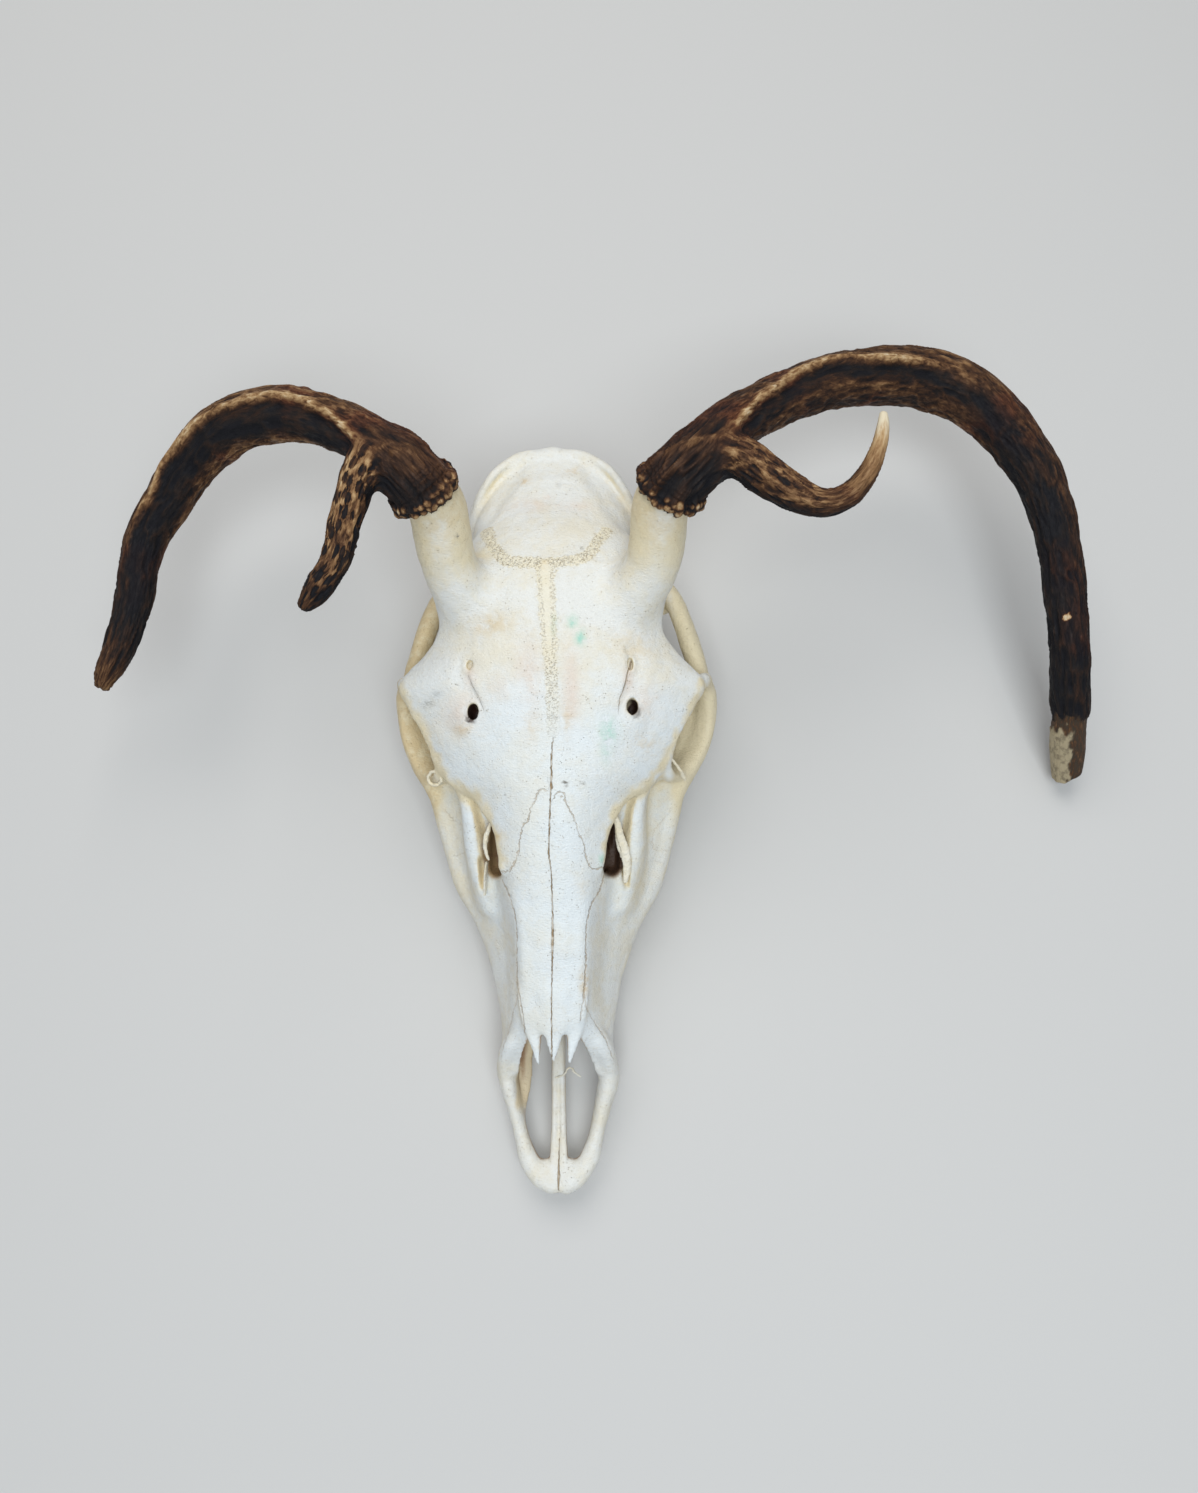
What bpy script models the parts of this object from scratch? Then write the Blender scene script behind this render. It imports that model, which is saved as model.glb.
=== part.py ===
"""A deer skull without its lower jaw, both antlers grown on it, lying on its cheek teeth.

The nose points to -Y and the animal's left side is +X. Every size below is in millimetres, measured
from the point of the floor under the nose tip, and the finished group is moved so that the middle of
its footprint is the origin.
"""

import math
from collections import namedtuple

import bmesh
import bpy
import numpy as np
from mathutils import Matrix, Vector

MM = 0.001

# ---- driving dimensions ----
FIT_GAP = 0.35  # between pieces that touch
SKIN_VOXEL = 2.0  # size of the cells in which the bone's forms are fused
FINE_VOXEL = 1.6  # the same for the slender bones that are added last
SKIN_ROUNDING = 5  # smoothing rounds that fillet the joins of the bone
FINE_ROUNDING = 2
SKULL_TRIANGLES = 5000
BURR_CENTRE = {1: (59.6, 320.5, 150.0), -1: (-55.2, 321.4, 150.0)}  # by side: 1 left, -1 right
BURR_AXIS = {1: (0.42, 0.40, 0.81), -1: (-0.42, 0.40, 0.81)}  # the way each antler leaves its pedicle
BURR_THICKNESS = 6.0
BURR_PROFILE = ((-3.0, 12.4, 0), (-2.4, 16.6, 1), (0.6, 17.6, 1), (3.2, 16.2, 1), (5.0, 14.4, 0))
ALVEOLAR_HEIGHT = 12.0  # floor to the bone edge that holds the teeth
TOOTH_LENGTHS = (11.0, 12.5, 12.0, 15.5, 18.0, 18.0)  # front premolar to last molar
TOOTH_WIDTHS = (9.5, 12.0, 14.0, 17.0, 19.0, 18.5)
TOOTH_ROW_START = (24.5, 116.0)  # x and y of the row's front end
TOOTH_ROW_END = (39.0, 204.0)
TOOTH_ROW_BULGE = 2.5  # how far the row bows outwards
SOCKET_DEPTH = 5.0

BONE = (0.86, 0.80, 0.68)
ENAMEL = (0.78, 0.70, 0.52)
ANTLER = (0.10, 0.055, 0.03)
TINE = (0.16, 0.10, 0.055)

FACE_COLUMNS = "y roof nasal_half nasal_z cheek_in side_half side_z rim_half rim_z rim_width palate_z"
Face = namedtuple("Face", FACE_COLUMNS)
FACE = (
    Face(56, 44, 12, 40, 0.0, 29.5, 27, 24, 17, 8, 20),
    Face(78, 61.5, 15, 56, 1.0, 28.8, 29, 23, 17, 8, 20),
    Face(100, 70, 16.5, 64, 2.0, 32.0, 28, 25, 16, 8, 19),
    Face(116, 75, 17.2, 69, 3.0, 37.0, 28, 32, ALVEOLAR_HEIGHT, 14, 18),
    Face(137, 82, 19, 74, 4.0, 45.0, 30, 38, ALVEOLAR_HEIGHT, 16, 18),
    Face(152, 88, 21, 77, 5.0, 53.0, 31, 43, ALVEOLAR_HEIGHT, 19, 18),
    Face(165, 93, 25, 79, 5.0, 56.0, 34, 46.5, ALVEOLAR_HEIGHT, 21, 18),
    Face(180, 98, 30, 80, 6.0, 60.0, 38, 48.5, ALVEOLAR_HEIGHT, 22, 18),
    Face(194, 101, 37, 79, 5.0, 63.0, 44, 48.5, ALVEOLAR_HEIGHT, 22, 19),
    Face(206, 104, 42, 79, 3.0, 62.0, 48, 46, 14, 20, 20),
)

Cavity = namedtuple("Cavity", "y top_z top_half wide_half wide_z floor_half floor_z")
NASAL_CAVITY = (
    Cavity(40, 52, 12, 20.5, 26, 19, 4),
    Cavity(60, 57, 12, 20.5, 28, 19.5, 4),
    Cavity(72, 57.5, 12, 20.5, 32, 18.5, 4),
    Cavity(77, 58, 12, 19, 36, 14, 24),
    Cavity(100, 65.5, 12.5, 18.5, 40, 15, 24),
    Cavity(119, 71, 13, 20, 44, 16, 24),
    Cavity(137, 77.5, 14.5, 22.5, 48, 18, 24),
    Cavity(152, 83, 17, 25.5, 52, 19, 24),
    Cavity(165, 87, 21, 28, 58, 19, 25),
    Cavity(180, 90, 23, 27, 60, 18, 27),
    Cavity(195, 91, 20, 23, 62, 15, 29),
    Cavity(212, 88, 14, 17, 60, 12, 30),
    Cavity(230, 76, 9, 12, 54, 10, 30),
)

Brow = namedtuple("Brow", "y roof half edge_z depth")
FRONTAL_SHIELD = (
    Brow(158, 89, 23, 81, 8),
    Brow(168, 94, 28, 81, 8),
    Brow(178, 97.5, 32, 81, 8),
    Brow(190, 101, 41, 78.5, 8),
    Brow(197, 103, 51.5, 77, 8),
    Brow(206, 105, 58.5, 80, 8),
    Brow(217, 107.5, 65, 84.5, 8),
    Brow(228, 110.5, 70, 88, 8),
    Brow(243, 114, 75.5, 91, 9),
    Brow(250, 115, 72.5, 91, 10),
    Brow(258, 116, 64, 94, 12),
    Brow(268, 117, 56.5, 98, 14),
    Brow(282, 118, 52, 103, 14),
    Brow(296, 116.5, 48, 103, 14),
    Brow(308, 112.5, 44, 100, 13),
    Brow(319, 108.5, 40, 96, 12),
    Brow(330, 103.5, 33, 92, 12),
)

Vault = namedtuple("Vault", "y roof wide_z half floor")
BRAINCASE = (
    Vault(206, 100, 66, 23, 34),
    Vault(222, 104, 72, 23, 34),
    Vault(240, 108, 74, 25, 34),
    Vault(255, 110, 76, 31, 32),
    Vault(270, 112, 78, 38, 30),
    Vault(288, 114, 76, 42, 28),
    Vault(305, 112, 72, 43.5, 27),
    Vault(322, 106.5, 68, 44, 27),
    Vault(338, 99, 64, 44, 27),
    Vault(352, 92, 60, 42, 28),
    Vault(362, 86, 58, 38, 30),
    Vault(369, 80, 58, 32, 34),
)

# Paths below are rows of x, y, z, half width and half height, for the side at +X.
PREMAXILLA = (
    (4.0, 2.5, 17.0, 4.0, 4.0),
    (9.5, 7.0, 17.0, 5.2, 4.4),
    (15.5, 15.5, 17.6, 5.0, 4.6),
    (18.6, 25.0, 18.6, 4.0, 5.0),
    (21.3, 36.0, 20.4, 4.0, 5.8),
    (24.6, 50.0, 23.6, 4.8, 7.6),
    (25.4, 60.0, 26.5, 4.6, 9.4),
    (24.6, 70.0, 32.0, 3.8, 10.5),
    (21.4, 81.0, 43.0, 3.2, 8.5),
    (17.2, 91.0, 56.0, 3.0, 5.5),
    (15.0, 99.0, 63.0, 3.0, 3.5),
)
PALATE_BAR = (
    (0.0, 9.0, 17.4, 6.0, 3.0),
    (0.0, 24.0, 18.4, 4.2, 2.8),
    (0.0, 40.0, 19.8, 3.8, 2.8),
    (0.0, 56.0, 21.4, 3.7, 3.4),
    (0.0, 72.0, 23.5, 3.6, 4.4),
    (0.0, 96.0, 26.0, 3.4, 5.0),
)
NASAL_SIDE_PRONG = (
    (11.5, 100.0, 65.5, 6.0, 2.2),
    (11.2, 88.0, 61.0, 5.4, 1.9),
    (9.8, 77.0, 58.4, 3.8, 1.7),
    (8.3, 68.0, 56.8, 2.0, 1.3),
    (7.6, 62.5, 56.0, 0.7, 0.7),
)
NASAL_MIDDLE_PRONG = (
    (0.0, 102.0, 69.5, 8.0, 2.2),
    (0.0, 88.0, 63.8, 6.4, 2.0),
    (0.0, 77.0, 60.6, 4.6, 1.7),
    (0.0, 69.0, 58.9, 2.4, 1.4),
    (0.0, 64.0, 58.0, 0.8, 0.8),
)
CHEEK_CREST = (
    (43.0, 138.0, 30.0, 3.0, 4.0),
    (49.5, 153.0, 32.0, 4.4, 5.2),
    (54.0, 168.0, 34.5, 4.5, 5.0),
    (58.5, 183.0, 39.5, 4.5, 5.5),
    (62.5, 198.0, 45.0, 4.5, 6.0),
    (70.0, 212.0, 49.0, 4.5, 6.0),
    (76.2, 226.0, 50.0, 4.0, 6.0),
    (78.6, 242.0, 54.0, 3.6, 6.5),
    (77.0, 257.0, 58.0, 3.0, 6.5),
    (73.5, 271.0, 60.0, 2.6, 6.0),
    (70.0, 285.0, 60.5, 2.6, 6.0),
    (65.0, 298.0, 59.0, 3.2, 6.0),
    (57.0, 307.0, 57.0, 4.5, 6.0),
    (45.0, 313.0, 56.0, 5.0, 6.0),
)
NUCHAL_CREST = (
    (46.0, 318.0, 52.0, 4.5, 6.0),
    (46.5, 327.0, 66.0, 3.6, 5.0),
    (43.5, 339.0, 78.0, 3.0, 4.0),
    (38.0, 351.5, 84.0, 3.0, 3.6),
    (29.5, 363.5, 85.5, 3.2, 3.6),
    (17.0, 370.5, 85.0, 3.4, 3.8),
    (0.0, 372.0, 84.5, 3.6, 4.0),
)
TEMPORAL_LINE = (
    (41.0, 309.0, 108.0, 4.0, 3.0),
    (34.0, 322.0, 104.0, 3.4, 3.0),
    (29.5, 336.0, 97.5, 3.0, 3.0),
    (25.0, 350.0, 91.0, 3.0, 3.0),
    (20.0, 362.0, 86.5, 3.0, 3.0),
)
PARACONDYLAR_PROCESS = (
    (39.0, 330.0, 46.0, 6.0, 9.0),
    (37.5, 335.0, 32.0, 4.2, 7.0),
    (35.0, 340.0, 16.0, 3.4, 5.5),
    (33.0, 343.0, 4.0, 3.0, 4.0),
    (32.6, 343.5, -1.5, 2.6, 3.4),
)
PTERYGOID_PLATE = (
    (15.0, 200.0, 26.0, 2.6, 8.0),
    (13.5, 214.0, 27.0, 2.0, 9.0),
    (12.5, 230.0, 29.0, 1.8, 10.0),
    (11.5, 246.0, 32.0, 1.8, 9.0),
    (12.5, 262.0, 35.0, 2.2, 6.0),
)

# Rows of x, y, z and radius.
ORBIT_RIM = (
    (70.0, 227.5, 89.0, 3.2),
    (74.0, 241.0, 90.5, 3.4),
    (76.0, 249.0, 80.0, 3.6),
    (78.0, 250.0, 66.0, 3.8),
    (79.0, 243.0, 55.0, 4.4),
    (75.5, 226.0, 50.5, 4.6),
    (67.6, 211.5, 52.0, 4.6),
    (60.0, 204.5, 61.0, 4.0),
    (57.5, 203.5, 71.0, 3.6),
    (60.0, 209.0, 79.5, 3.2),
    (65.0, 217.5, 85.0, 3.2),
)

# Ellipsoids: name, centre, radii and turn in degrees about X, Y and Z, for the side at +X.
SIDE_LUMPS = (
    ("socket front", (45.0, 206.0, 62.0), (17.0, 7.0, 20.0), (0, 0, 20)),
    ("jaw joint", (52.0, 303.0, 53.0), (13.0, 10.0, 6.0), (0, 0, 0)),
    ("ear region", (42.0, 321.0, 48.0), (8.0, 15.0, 16.0), (0, 0, 0)),
    ("tympanic bulla", (25.0, 306.0, 23.0), (8.5, 13.0, 10.0), (0, 0, -15)),
    ("condyle", (14.0, 371.0, 30.0), (9.0, 9.5, 13.0), (20, 20, 0)),
    ("molar tuberosity", (38.0, 208.0, 24.0), (9.0, 10.0, 12.0), (0, 0, 0)),
)
MIDDLE_LUMPS = (
    ("nose tip plate", (0.0, 8.5, 17.0), (12.0, 8.0, 3.8), (0, 0, 0)),
    ("occiput", (0.0, 360.0, 50.0), (38.0, 10.0, 28.0), (0, 0, 0)),
)
TEAR_PIT = (("tear pit", (45.5, 186.0, 80.0), (9.0, 19.0, 18.0), (0, -18, -14)),)
SIDE_HOLLOWS = (
    ("side fissure", (29.5, 163.5, 77.0), (4.6, 13.5, 15.0), (0, 10, -14)),
    ("brow foramen", (38.6, 227.4, 109.0), (3.4, 4.2, 7.5), (0, 0, 0)),
    ("brow foramen, upper", (38.9, 247.8, 113.5), (2.2, 3.4, 4.0), (0, 0, 0)),
    ("eye hollow", (62.0, 226.0, 70.0), (26.0, 20.5, 18.0), (0, -8, 8)),
    ("ear canal", (52.0, 317.0, 50.0), (12.0, 3.2, 3.2), (0, 0, 0)),
)
MIDDLE_HOLLOWS = (
    ("throat opening", (0.0, 229.0, 26.0), (10.5, 24.0, 11.0), (8, 0, 0)),
    ("foramen magnum", (0.0, 372.0, 43.0), (13.0, 26.0, 12.0), (-12, 0, 0)),
    ("brain hollow", (0.0, 344.0, 54.0), (20.0, 20.0, 19.0), (0, 0, 0)),
)
SKULL_BASE = (
    (0.0, 228.0, 34.0, 8.0, 6.0),
    (0.0, 270.0, 31.0, 9.0, 5.0),
    (0.0, 320.0, 27.0, 12.0, 5.0),
    (0.0, 366.0, 28.0, 15.0, 6.0),
)
NOSE_OPENING = ((30.0, 90.0), (30.0, 36.0), (60.0, 35.0), (94.0, 66.0), (94.0, 90.0))  # y, z of the cut

# Rows of x, y, z and radius along each antler, from above the burr to the tip.
BEAM = {
    1: (
        (68.6, 328.7, 156.0, 14.2),
        (78.0, 339.5, 155.0, 12.6),
        (88.3, 350.7, 151.0, 11.8),
        (108.1, 367.2, 140.0, 11.9),
        (131.4, 383.8, 127.0, 12.5),
        (154.3, 394.7, 115.5, 13.7),
        (173.8, 400.6, 107.0, 14.4),
        (193.9, 402.0, 100.5, 15.0),
        (212.0, 396.8, 96.0, 14.6),
        (227.6, 386.0, 92.0, 13.7),
        (240.4, 371.1, 88.0, 12.7),
        (250.7, 354.7, 84.0, 11.7),
        (257.3, 335.9, 79.5, 11.1),
        (260.9, 317.1, 75.5, 10.5),
        (263.9, 293.8, 69.0, 10.2),
        (266.4, 271.8, 61.0, 9.9),
        (269.7, 253.6, 48.0, 9.8),
        (272.9, 235.6, 32.0, 9.6),
        (276.4, 219.6, 15.5, 8.8),
        (277.4, 212.2, 8.5, 6.6),
    ),
    -1: (
        (-63.6, 330.0, 156.0, 14.2),
        (-74.8, 339.6, 155.5, 12.7),
        (-90.9, 351.7, 151.0, 11.7),
        (-111.0, 362.9, 144.0, 12.4),
        (-128.9, 369.0, 137.0, 13.1),
        (-146.5, 370.2, 130.0, 13.5),
        (-162.6, 368.2, 122.0, 13.6),
        (-173.9, 363.2, 115.0, 13.0),
        (-186.0, 354.3, 107.0, 12.1),
        (-196.0, 343.0, 100.0, 11.4),
        (-205.4, 332.7, 94.0, 10.8),
        (-210.5, 323.5, 91.0, 10.3),
        (-213.4, 311.9, 88.5, 9.7),
        (-215.0, 297.1, 87.0, 9.1),
        (-217.6, 281.8, 86.0, 8.4),
        (-221.3, 265.9, 86.0, 7.5),
        (-225.1, 255.2, 86.5, 5.9),
        (-227.7, 247.4, 87.0, 3.5),
    ),
}
TINE_ROWS = {
    1: (
        (77.9, 333.5, 154.0, 9.4),
        (89.7, 329.6, 159.0, 9.2),
        (101.9, 319.0, 161.0, 8.8),
        (113.6, 309.7, 162.0, 7.8),
        (125.0, 304.4, 163.5, 6.3),
        (135.9, 306.0, 167.0, 5.1),
        (143.8, 313.6, 171.5, 3.9),
        (148.6, 323.9, 175.5, 2.9),
        (150.5, 332.5, 178.0, 2.2),
        (150.8, 338.1, 179.5, 1.3),
    ),
    -1: (
        (-72.7, 336.8, 154.0, 9.6),
        (-78.7, 330.8, 159.0, 9.0),
        (-83.3, 317.9, 162.0, 8.0),
        (-87.2, 299.0, 163.0, 7.3),
        (-90.7, 280.8, 163.0, 6.8),
        (-98.6, 268.5, 161.0, 5.9),
        (-104.3, 261.0, 160.0, 3.3),
    ),
}
BEAM_RINGS, BEAM_SIDES = 30, 16
TINE_RINGS, TINE_SIDES = 15, 10
SIDE_NAME = {1: "left", -1: "right"}


# ---- curves through the named rows ----


def between_stations(stations, places):
    """The station columns at any places along the first one, on curves that never overshoot."""
    table = np.array(stations, float)
    along = table[:, 0]
    values = table[:, 1:]
    step = np.diff(along)[:, None]
    slope = np.diff(values, axis=0) / step
    before, after = slope[:-1], slope[1:]
    same_way = before * after > 0
    total = np.where(same_way, before + after, 1.0)
    tangent = np.vstack([slope[:1], np.where(same_way, 2 * before * after / total, 0.0), slope[-1:]])
    i = np.clip(np.searchsorted(along, places) - 1, 0, len(step) - 1)
    t = ((places - along[i]) / step[i, 0])[:, None]
    rise = t * t * (3 - 2 * t)
    start = t * (1 - t) ** 2 * step[i]
    end = -t * t * (1 - t) * step[i]
    return values[i] * (1 - rise) + values[i + 1] * rise + tangent[i] * start + tangent[i + 1] * end


def smooth_path(points, count, closed=False):
    """A rounded path of count rows through the given rows."""
    rows = np.array(points, float)
    if closed:
        rows = np.vstack([rows[-1:], rows, rows[:2]])
    else:
        rows = np.vstack([2 * rows[0] - rows[1], rows, 2 * rows[-1] - rows[-2]])
    spans = len(rows) - 3
    along = np.linspace(0, spans, count, endpoint=not closed)
    i = np.minimum(along.astype(int), spans - 1)
    t = (along - i)[:, None]
    a, b, c, d = rows[i], rows[i + 1], rows[i + 2], rows[i + 3]
    bend = (2 * a - 5 * b + 4 * c - d) * t**2 + (3 * b - a - 3 * c + d) * t**3
    return b + 0.5 * ((c - a) * t + bend)


def mirrored(rows, side):
    """The same rows on the named side: their first column is x."""
    return [(side * row[0], *row[1:]) for row in rows]


# ---- objects ----


def new_object(name, shape):
    """An object that holds the bmesh, with its faces turned outwards."""
    bmesh.ops.recalc_face_normals(shape, faces=shape.faces)
    mesh = bpy.data.meshes.new(name)
    shape.to_mesh(mesh)
    shape.free()
    made = bpy.data.objects.new(name, mesh)
    bpy.context.scene.collection.objects.link(made)
    return made


def loft(name, rings):
    """A closed body through rings that have the same number of points."""
    shape = bmesh.new()
    rows = [[shape.verts.new(Vector(point) * MM) for point in ring] for ring in rings]
    for low, high in zip(rows, rows[1:]):
        for k in range(len(low)):
            shape.faces.new((low[k - 1], low[k], high[k], high[k - 1]))
    shape.faces.new(rows[0])
    shape.faces.new(rows[-1])
    return new_object(name, shape)


def ring_frames(path, up):
    """Two unit vectors across the path at each of its points, the first one level where it can be."""
    ahead = np.gradient(path, axis=0)
    ahead /= np.linalg.norm(ahead, axis=1, keepdims=True)
    across = np.cross(ahead, up)
    across /= np.linalg.norm(across, axis=1, keepdims=True)
    return across, np.cross(across, ahead)


def strap(name, rows, count, sides=10, up=(0, 0, 1)):
    """A bar of oval section along rows of x, y, z, half width and half height."""
    path = smooth_path(rows, count)
    across, over = ring_frames(path[:, :3], up)
    rings = []
    for k in range(count):
        turn = np.linspace(0, 2 * math.pi, sides, endpoint=False)
        wide = np.outer(np.cos(turn) * path[k, 3], across[k])
        tall = np.outer(np.sin(turn) * path[k, 4], over[k])
        rings.append(path[k, :3] + wide + tall)
    return loft(name, rings)


def tube(name, rows, closed=False):
    """A round bar along rows of x, y, z and radius."""
    data = bpy.data.curves.new(name, "CURVE")
    data.dimensions = "3D"
    data.bevel_depth = MM
    data.bevel_resolution = 2
    data.use_fill_caps = True
    line = data.splines.new("POLY")
    path = smooth_path(rows, 4 * len(rows), closed)
    line.points.add(len(path) - 1)
    for point, row in zip(line.points, path):
        point.co = (*(row[:3] * MM), 1.0)
        point.radius = row[3]
    line.use_cyclic_u = closed
    made = bpy.data.objects.new(name, data)
    bpy.context.scene.collection.objects.link(made)
    return made


def ball(name, centre, radii, turn=(0, 0, 0)):
    """An ellipsoid turned by the given degrees about its own centre."""
    shape = bmesh.new()
    bmesh.ops.create_uvsphere(shape, u_segments=24, v_segments=14, radius=1.0)
    spin = Matrix.Rotation(math.radians(turn[2]), 3, "Z")
    spin = spin @ Matrix.Rotation(math.radians(turn[1]), 3, "Y")
    spin = spin @ Matrix.Rotation(math.radians(turn[0]), 3, "X")
    for vertex in shape.verts:
        scaled = Vector([vertex.co[k] * radii[k] for k in range(3)])
        vertex.co = (spin @ scaled + Vector(centre)) * MM
    return new_object(name, shape)


def lumps(table, side=1):
    """The table's ellipsoids on the named side."""
    made = []
    for name, centre, radii, turn in table:
        place = (side * centre[0], *centre[1:])
        made.append(ball(name, place, radii, (turn[0], side * turn[1], side * turn[2])))
    return made


def slab(name, low, high):
    """A box between two corners."""
    shape = bmesh.new()
    bmesh.ops.create_cube(shape, size=1.0)
    size = Vector(high) - Vector(low)
    middle = (Vector(high) + Vector(low)) / 2
    for vertex in shape.verts:
        vertex.co = (Vector([vertex.co[k] * size[k] for k in range(3)]) + middle) * MM
    return new_object(name, shape)


def bake(made):
    """The object as its modifiers leave it, as a plain mesh."""
    graph = bpy.context.evaluated_depsgraph_get()
    mesh = bpy.data.meshes.new_from_object(made.evaluated_get(graph))
    made.modifiers.clear()
    made.data = mesh


def fuse(name, pieces, voxel, rounding):
    """One skin over overlapping bodies, with their joins filleted."""
    graph = bpy.context.evaluated_depsgraph_get()
    whole = bmesh.new()
    for piece in pieces:
        mesh = bpy.data.meshes.new_from_object(piece.evaluated_get(graph))
        whole.from_mesh(mesh)
        bpy.data.meshes.remove(mesh)
        bpy.data.objects.remove(piece)
    bmesh.ops.remove_doubles(whole, verts=whole.verts, dist=1e-6)
    made = new_object(name, whole)
    reskin(made, voxel, rounding)
    return made


def reskin(made, voxel, rounding):
    """The body covered again by an even skin, and smoothed."""
    skin = made.modifiers.new("skin", "REMESH")
    skin.mode = "VOXEL"
    skin.voxel_size = voxel * MM
    soften = made.modifiers.new("soften", "SMOOTH")
    soften.factor = 0.5
    soften.iterations = rounding
    bake(made)


def drop_crumbs(made):
    """Only the largest of the body's closed shells stays."""
    shape = bmesh.new()
    shape.from_mesh(made.data)
    waiting = set(shape.verts)
    shells = []
    while waiting:
        edge = [waiting.pop()]
        found = list(edge)
        while edge:
            near = {link.other_vert(vertex) for vertex in edge for link in vertex.link_edges} & waiting
            waiting -= near
            edge = list(near)
            found += edge
        shells.append(found)
    shells.sort(key=len)
    for crumb in shells[:-1]:
        bmesh.ops.delete(shape, geom=crumb, context="VERTS")
    shape.to_mesh(made.data)
    shape.free()


def keep_as_cutter(cutter):
    """A cutter stays in the file as a wire guide, out of the render."""
    for group in cutter.users_collection:
        group.objects.unlink(cutter)
    bpy.data.collections["cutters"].objects.link(cutter)
    cutter.hide_render = True
    cutter.display_type = "WIRE"


def cut(made, *cutters):
    """Takes each cutter's space out of the body."""
    for cutter in cutters:
        away = made.modifiers.new("cut", "BOOLEAN")
        away.operation = "DIFFERENCE"
        away.solver = "EXACT"
        away.object = cutter
        bake(made)
        keep_as_cutter(cutter)


# ---- the bone ----


def face_rings():
    """Sections of the snout and the cheeks, from the nose opening to the front of the eye sockets."""
    places = np.linspace(FACE[0].y, FACE[-1].y, 40)
    rings = []
    for y, row in zip(places, between_stations(FACE, places)):
        form = Face(y, *row)
        rim_inner = form.rim_half - form.rim_width
        half = (
            (0.0, form.roof),
            (0.55 * form.nasal_half, form.roof - 0.12 * (form.roof - form.nasal_z)),
            (form.nasal_half, form.nasal_z + 0.25 * (form.roof - form.nasal_z)),
            (0.5 * (form.nasal_half + form.side_half) - form.cheek_in, 0.5 * (form.nasal_z + form.side_z)),
            (form.side_half, form.side_z),
            (form.rim_half, form.rim_z + 3.0),
            (form.rim_half - 1.5, form.rim_z),
            (rim_inner + 1.5, form.rim_z),
            (rim_inner - 1.0, form.rim_z + 3.0),
            (0.5 * rim_inner, form.palate_z),
        )
        outline = list(half) + [(0.0, form.palate_z)] + mirrored(half[:0:-1], -1)
        flat = smooth_path(outline, 56, closed=True)
        rings.append([(x, y, z) for x, z in flat])
    return rings


def cavity_rings():
    """Sections of the nose's hollow, from the opening back to the throat."""
    places = np.linspace(NASAL_CAVITY[0].y, NASAL_CAVITY[-1].y, 34)
    rings = []
    for y, row in zip(places, between_stations(NASAL_CAVITY, places)):
        form = Cavity(y, *row)
        half = (
            (0.0, form.top_z),
            (form.top_half, form.top_z - 3.5),
            (form.wide_half, form.wide_z),
            (form.floor_half, form.floor_z + 2.0),
        )
        outline = list(half) + [(0.0, form.floor_z)] + mirrored(half[:0:-1], -1)
        flat = smooth_path(outline, 32, closed=True)
        rings.append([(x, y, z) for x, z in flat])
    return rings


def shield_rings():
    """Sections of the forehead's broad plate, whose edges are the brows over the eyes."""
    places = np.linspace(FRONTAL_SHIELD[0].y, FRONTAL_SHIELD[-1].y, 60)
    rings = []
    for y, row in zip(places, between_stations(FRONTAL_SHIELD, places)):
        form = Brow(y, *row)
        share = np.linspace(0, 0.97, 8)
        droop = (form.roof - form.edge_z) * share**2.3
        top = [(s * form.half, form.roof - d) for s, d in zip(share, droop)]
        under = [
            (form.half, form.edge_z - 1.5),
            (form.half - 2.0, form.edge_z - 4.5),
            (0.75 * form.half, 0.6 * form.edge_z + 0.4 * form.roof - form.depth),
            (0.4 * form.half, form.roof - form.depth - 3.0),
        ]
        half = top + under
        outline = half + [(0.0, form.roof - form.depth - 4.0)] + mirrored(half[:0:-1], -1)
        flat = smooth_path(outline, 64, closed=True)
        rings.append([(x, y, z) for x, z in flat])
    return rings


def vault_rings():
    """Sections of the wall between the eyes and of the braincase."""
    places = np.linspace(BRAINCASE[0].y, BRAINCASE[-1].y, 40)
    rings = []
    for y, row in zip(places, between_stations(BRAINCASE, places)):
        form = Vault(y, *row)
        turn = np.linspace(0, 2 * math.pi, 40, endpoint=False)
        x = form.half * np.sign(np.cos(turn)) * np.abs(np.cos(turn)) ** 0.85
        rise = np.where(np.sin(turn) > 0, form.roof - form.wide_z, form.wide_z - form.floor)
        z = form.wide_z + rise * np.sign(np.sin(turn)) * np.abs(np.sin(turn)) ** 0.8
        rings.append([(a, y, b) for a, b in zip(x, z)])
    return rings


def pedicle_rows(side):
    """The bone stem of an antler, from the forehead to just past its burr's plane."""
    top = Vector(BURR_CENTRE[side])
    axis = Vector(BURR_AXIS[side]).normalized()
    return (
        (side * 34.0, 270.0, 92.0, 15.0),
        (side * 43.0, 283.0, 104.0, 15.5),
        (side * 51.0, 297.5, 120.0, 14.2),
        (*(top - axis * 14.0), 12.8),
        (*(top - axis * 2.0), 12.4),
        (*(top + axis * 3.0), 12.4),
    )


def side_forms(side):
    """The bone forms that exist once on each side of the head."""
    return [
        strap("cheek crest and arch", mirrored(CHEEK_CREST, side), 40),
        strap("nuchal crest", mirrored(NUCHAL_CREST, side), 24),
        strap("temporal line", mirrored(TEMPORAL_LINE, side), 16),
        strap("paracondylar process", mirrored(PARACONDYLAR_PROCESS, side), 16, up=(0, 1, 0)),
        strap("pterygoid plate", mirrored(PTERYGOID_PLATE, side), 16),
        tube("orbit rim", mirrored(ORBIT_RIM, side), closed=True),
        tube("pedicle", pedicle_rows(side)),
        *lumps(SIDE_LUMPS, side),
    ]


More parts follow.
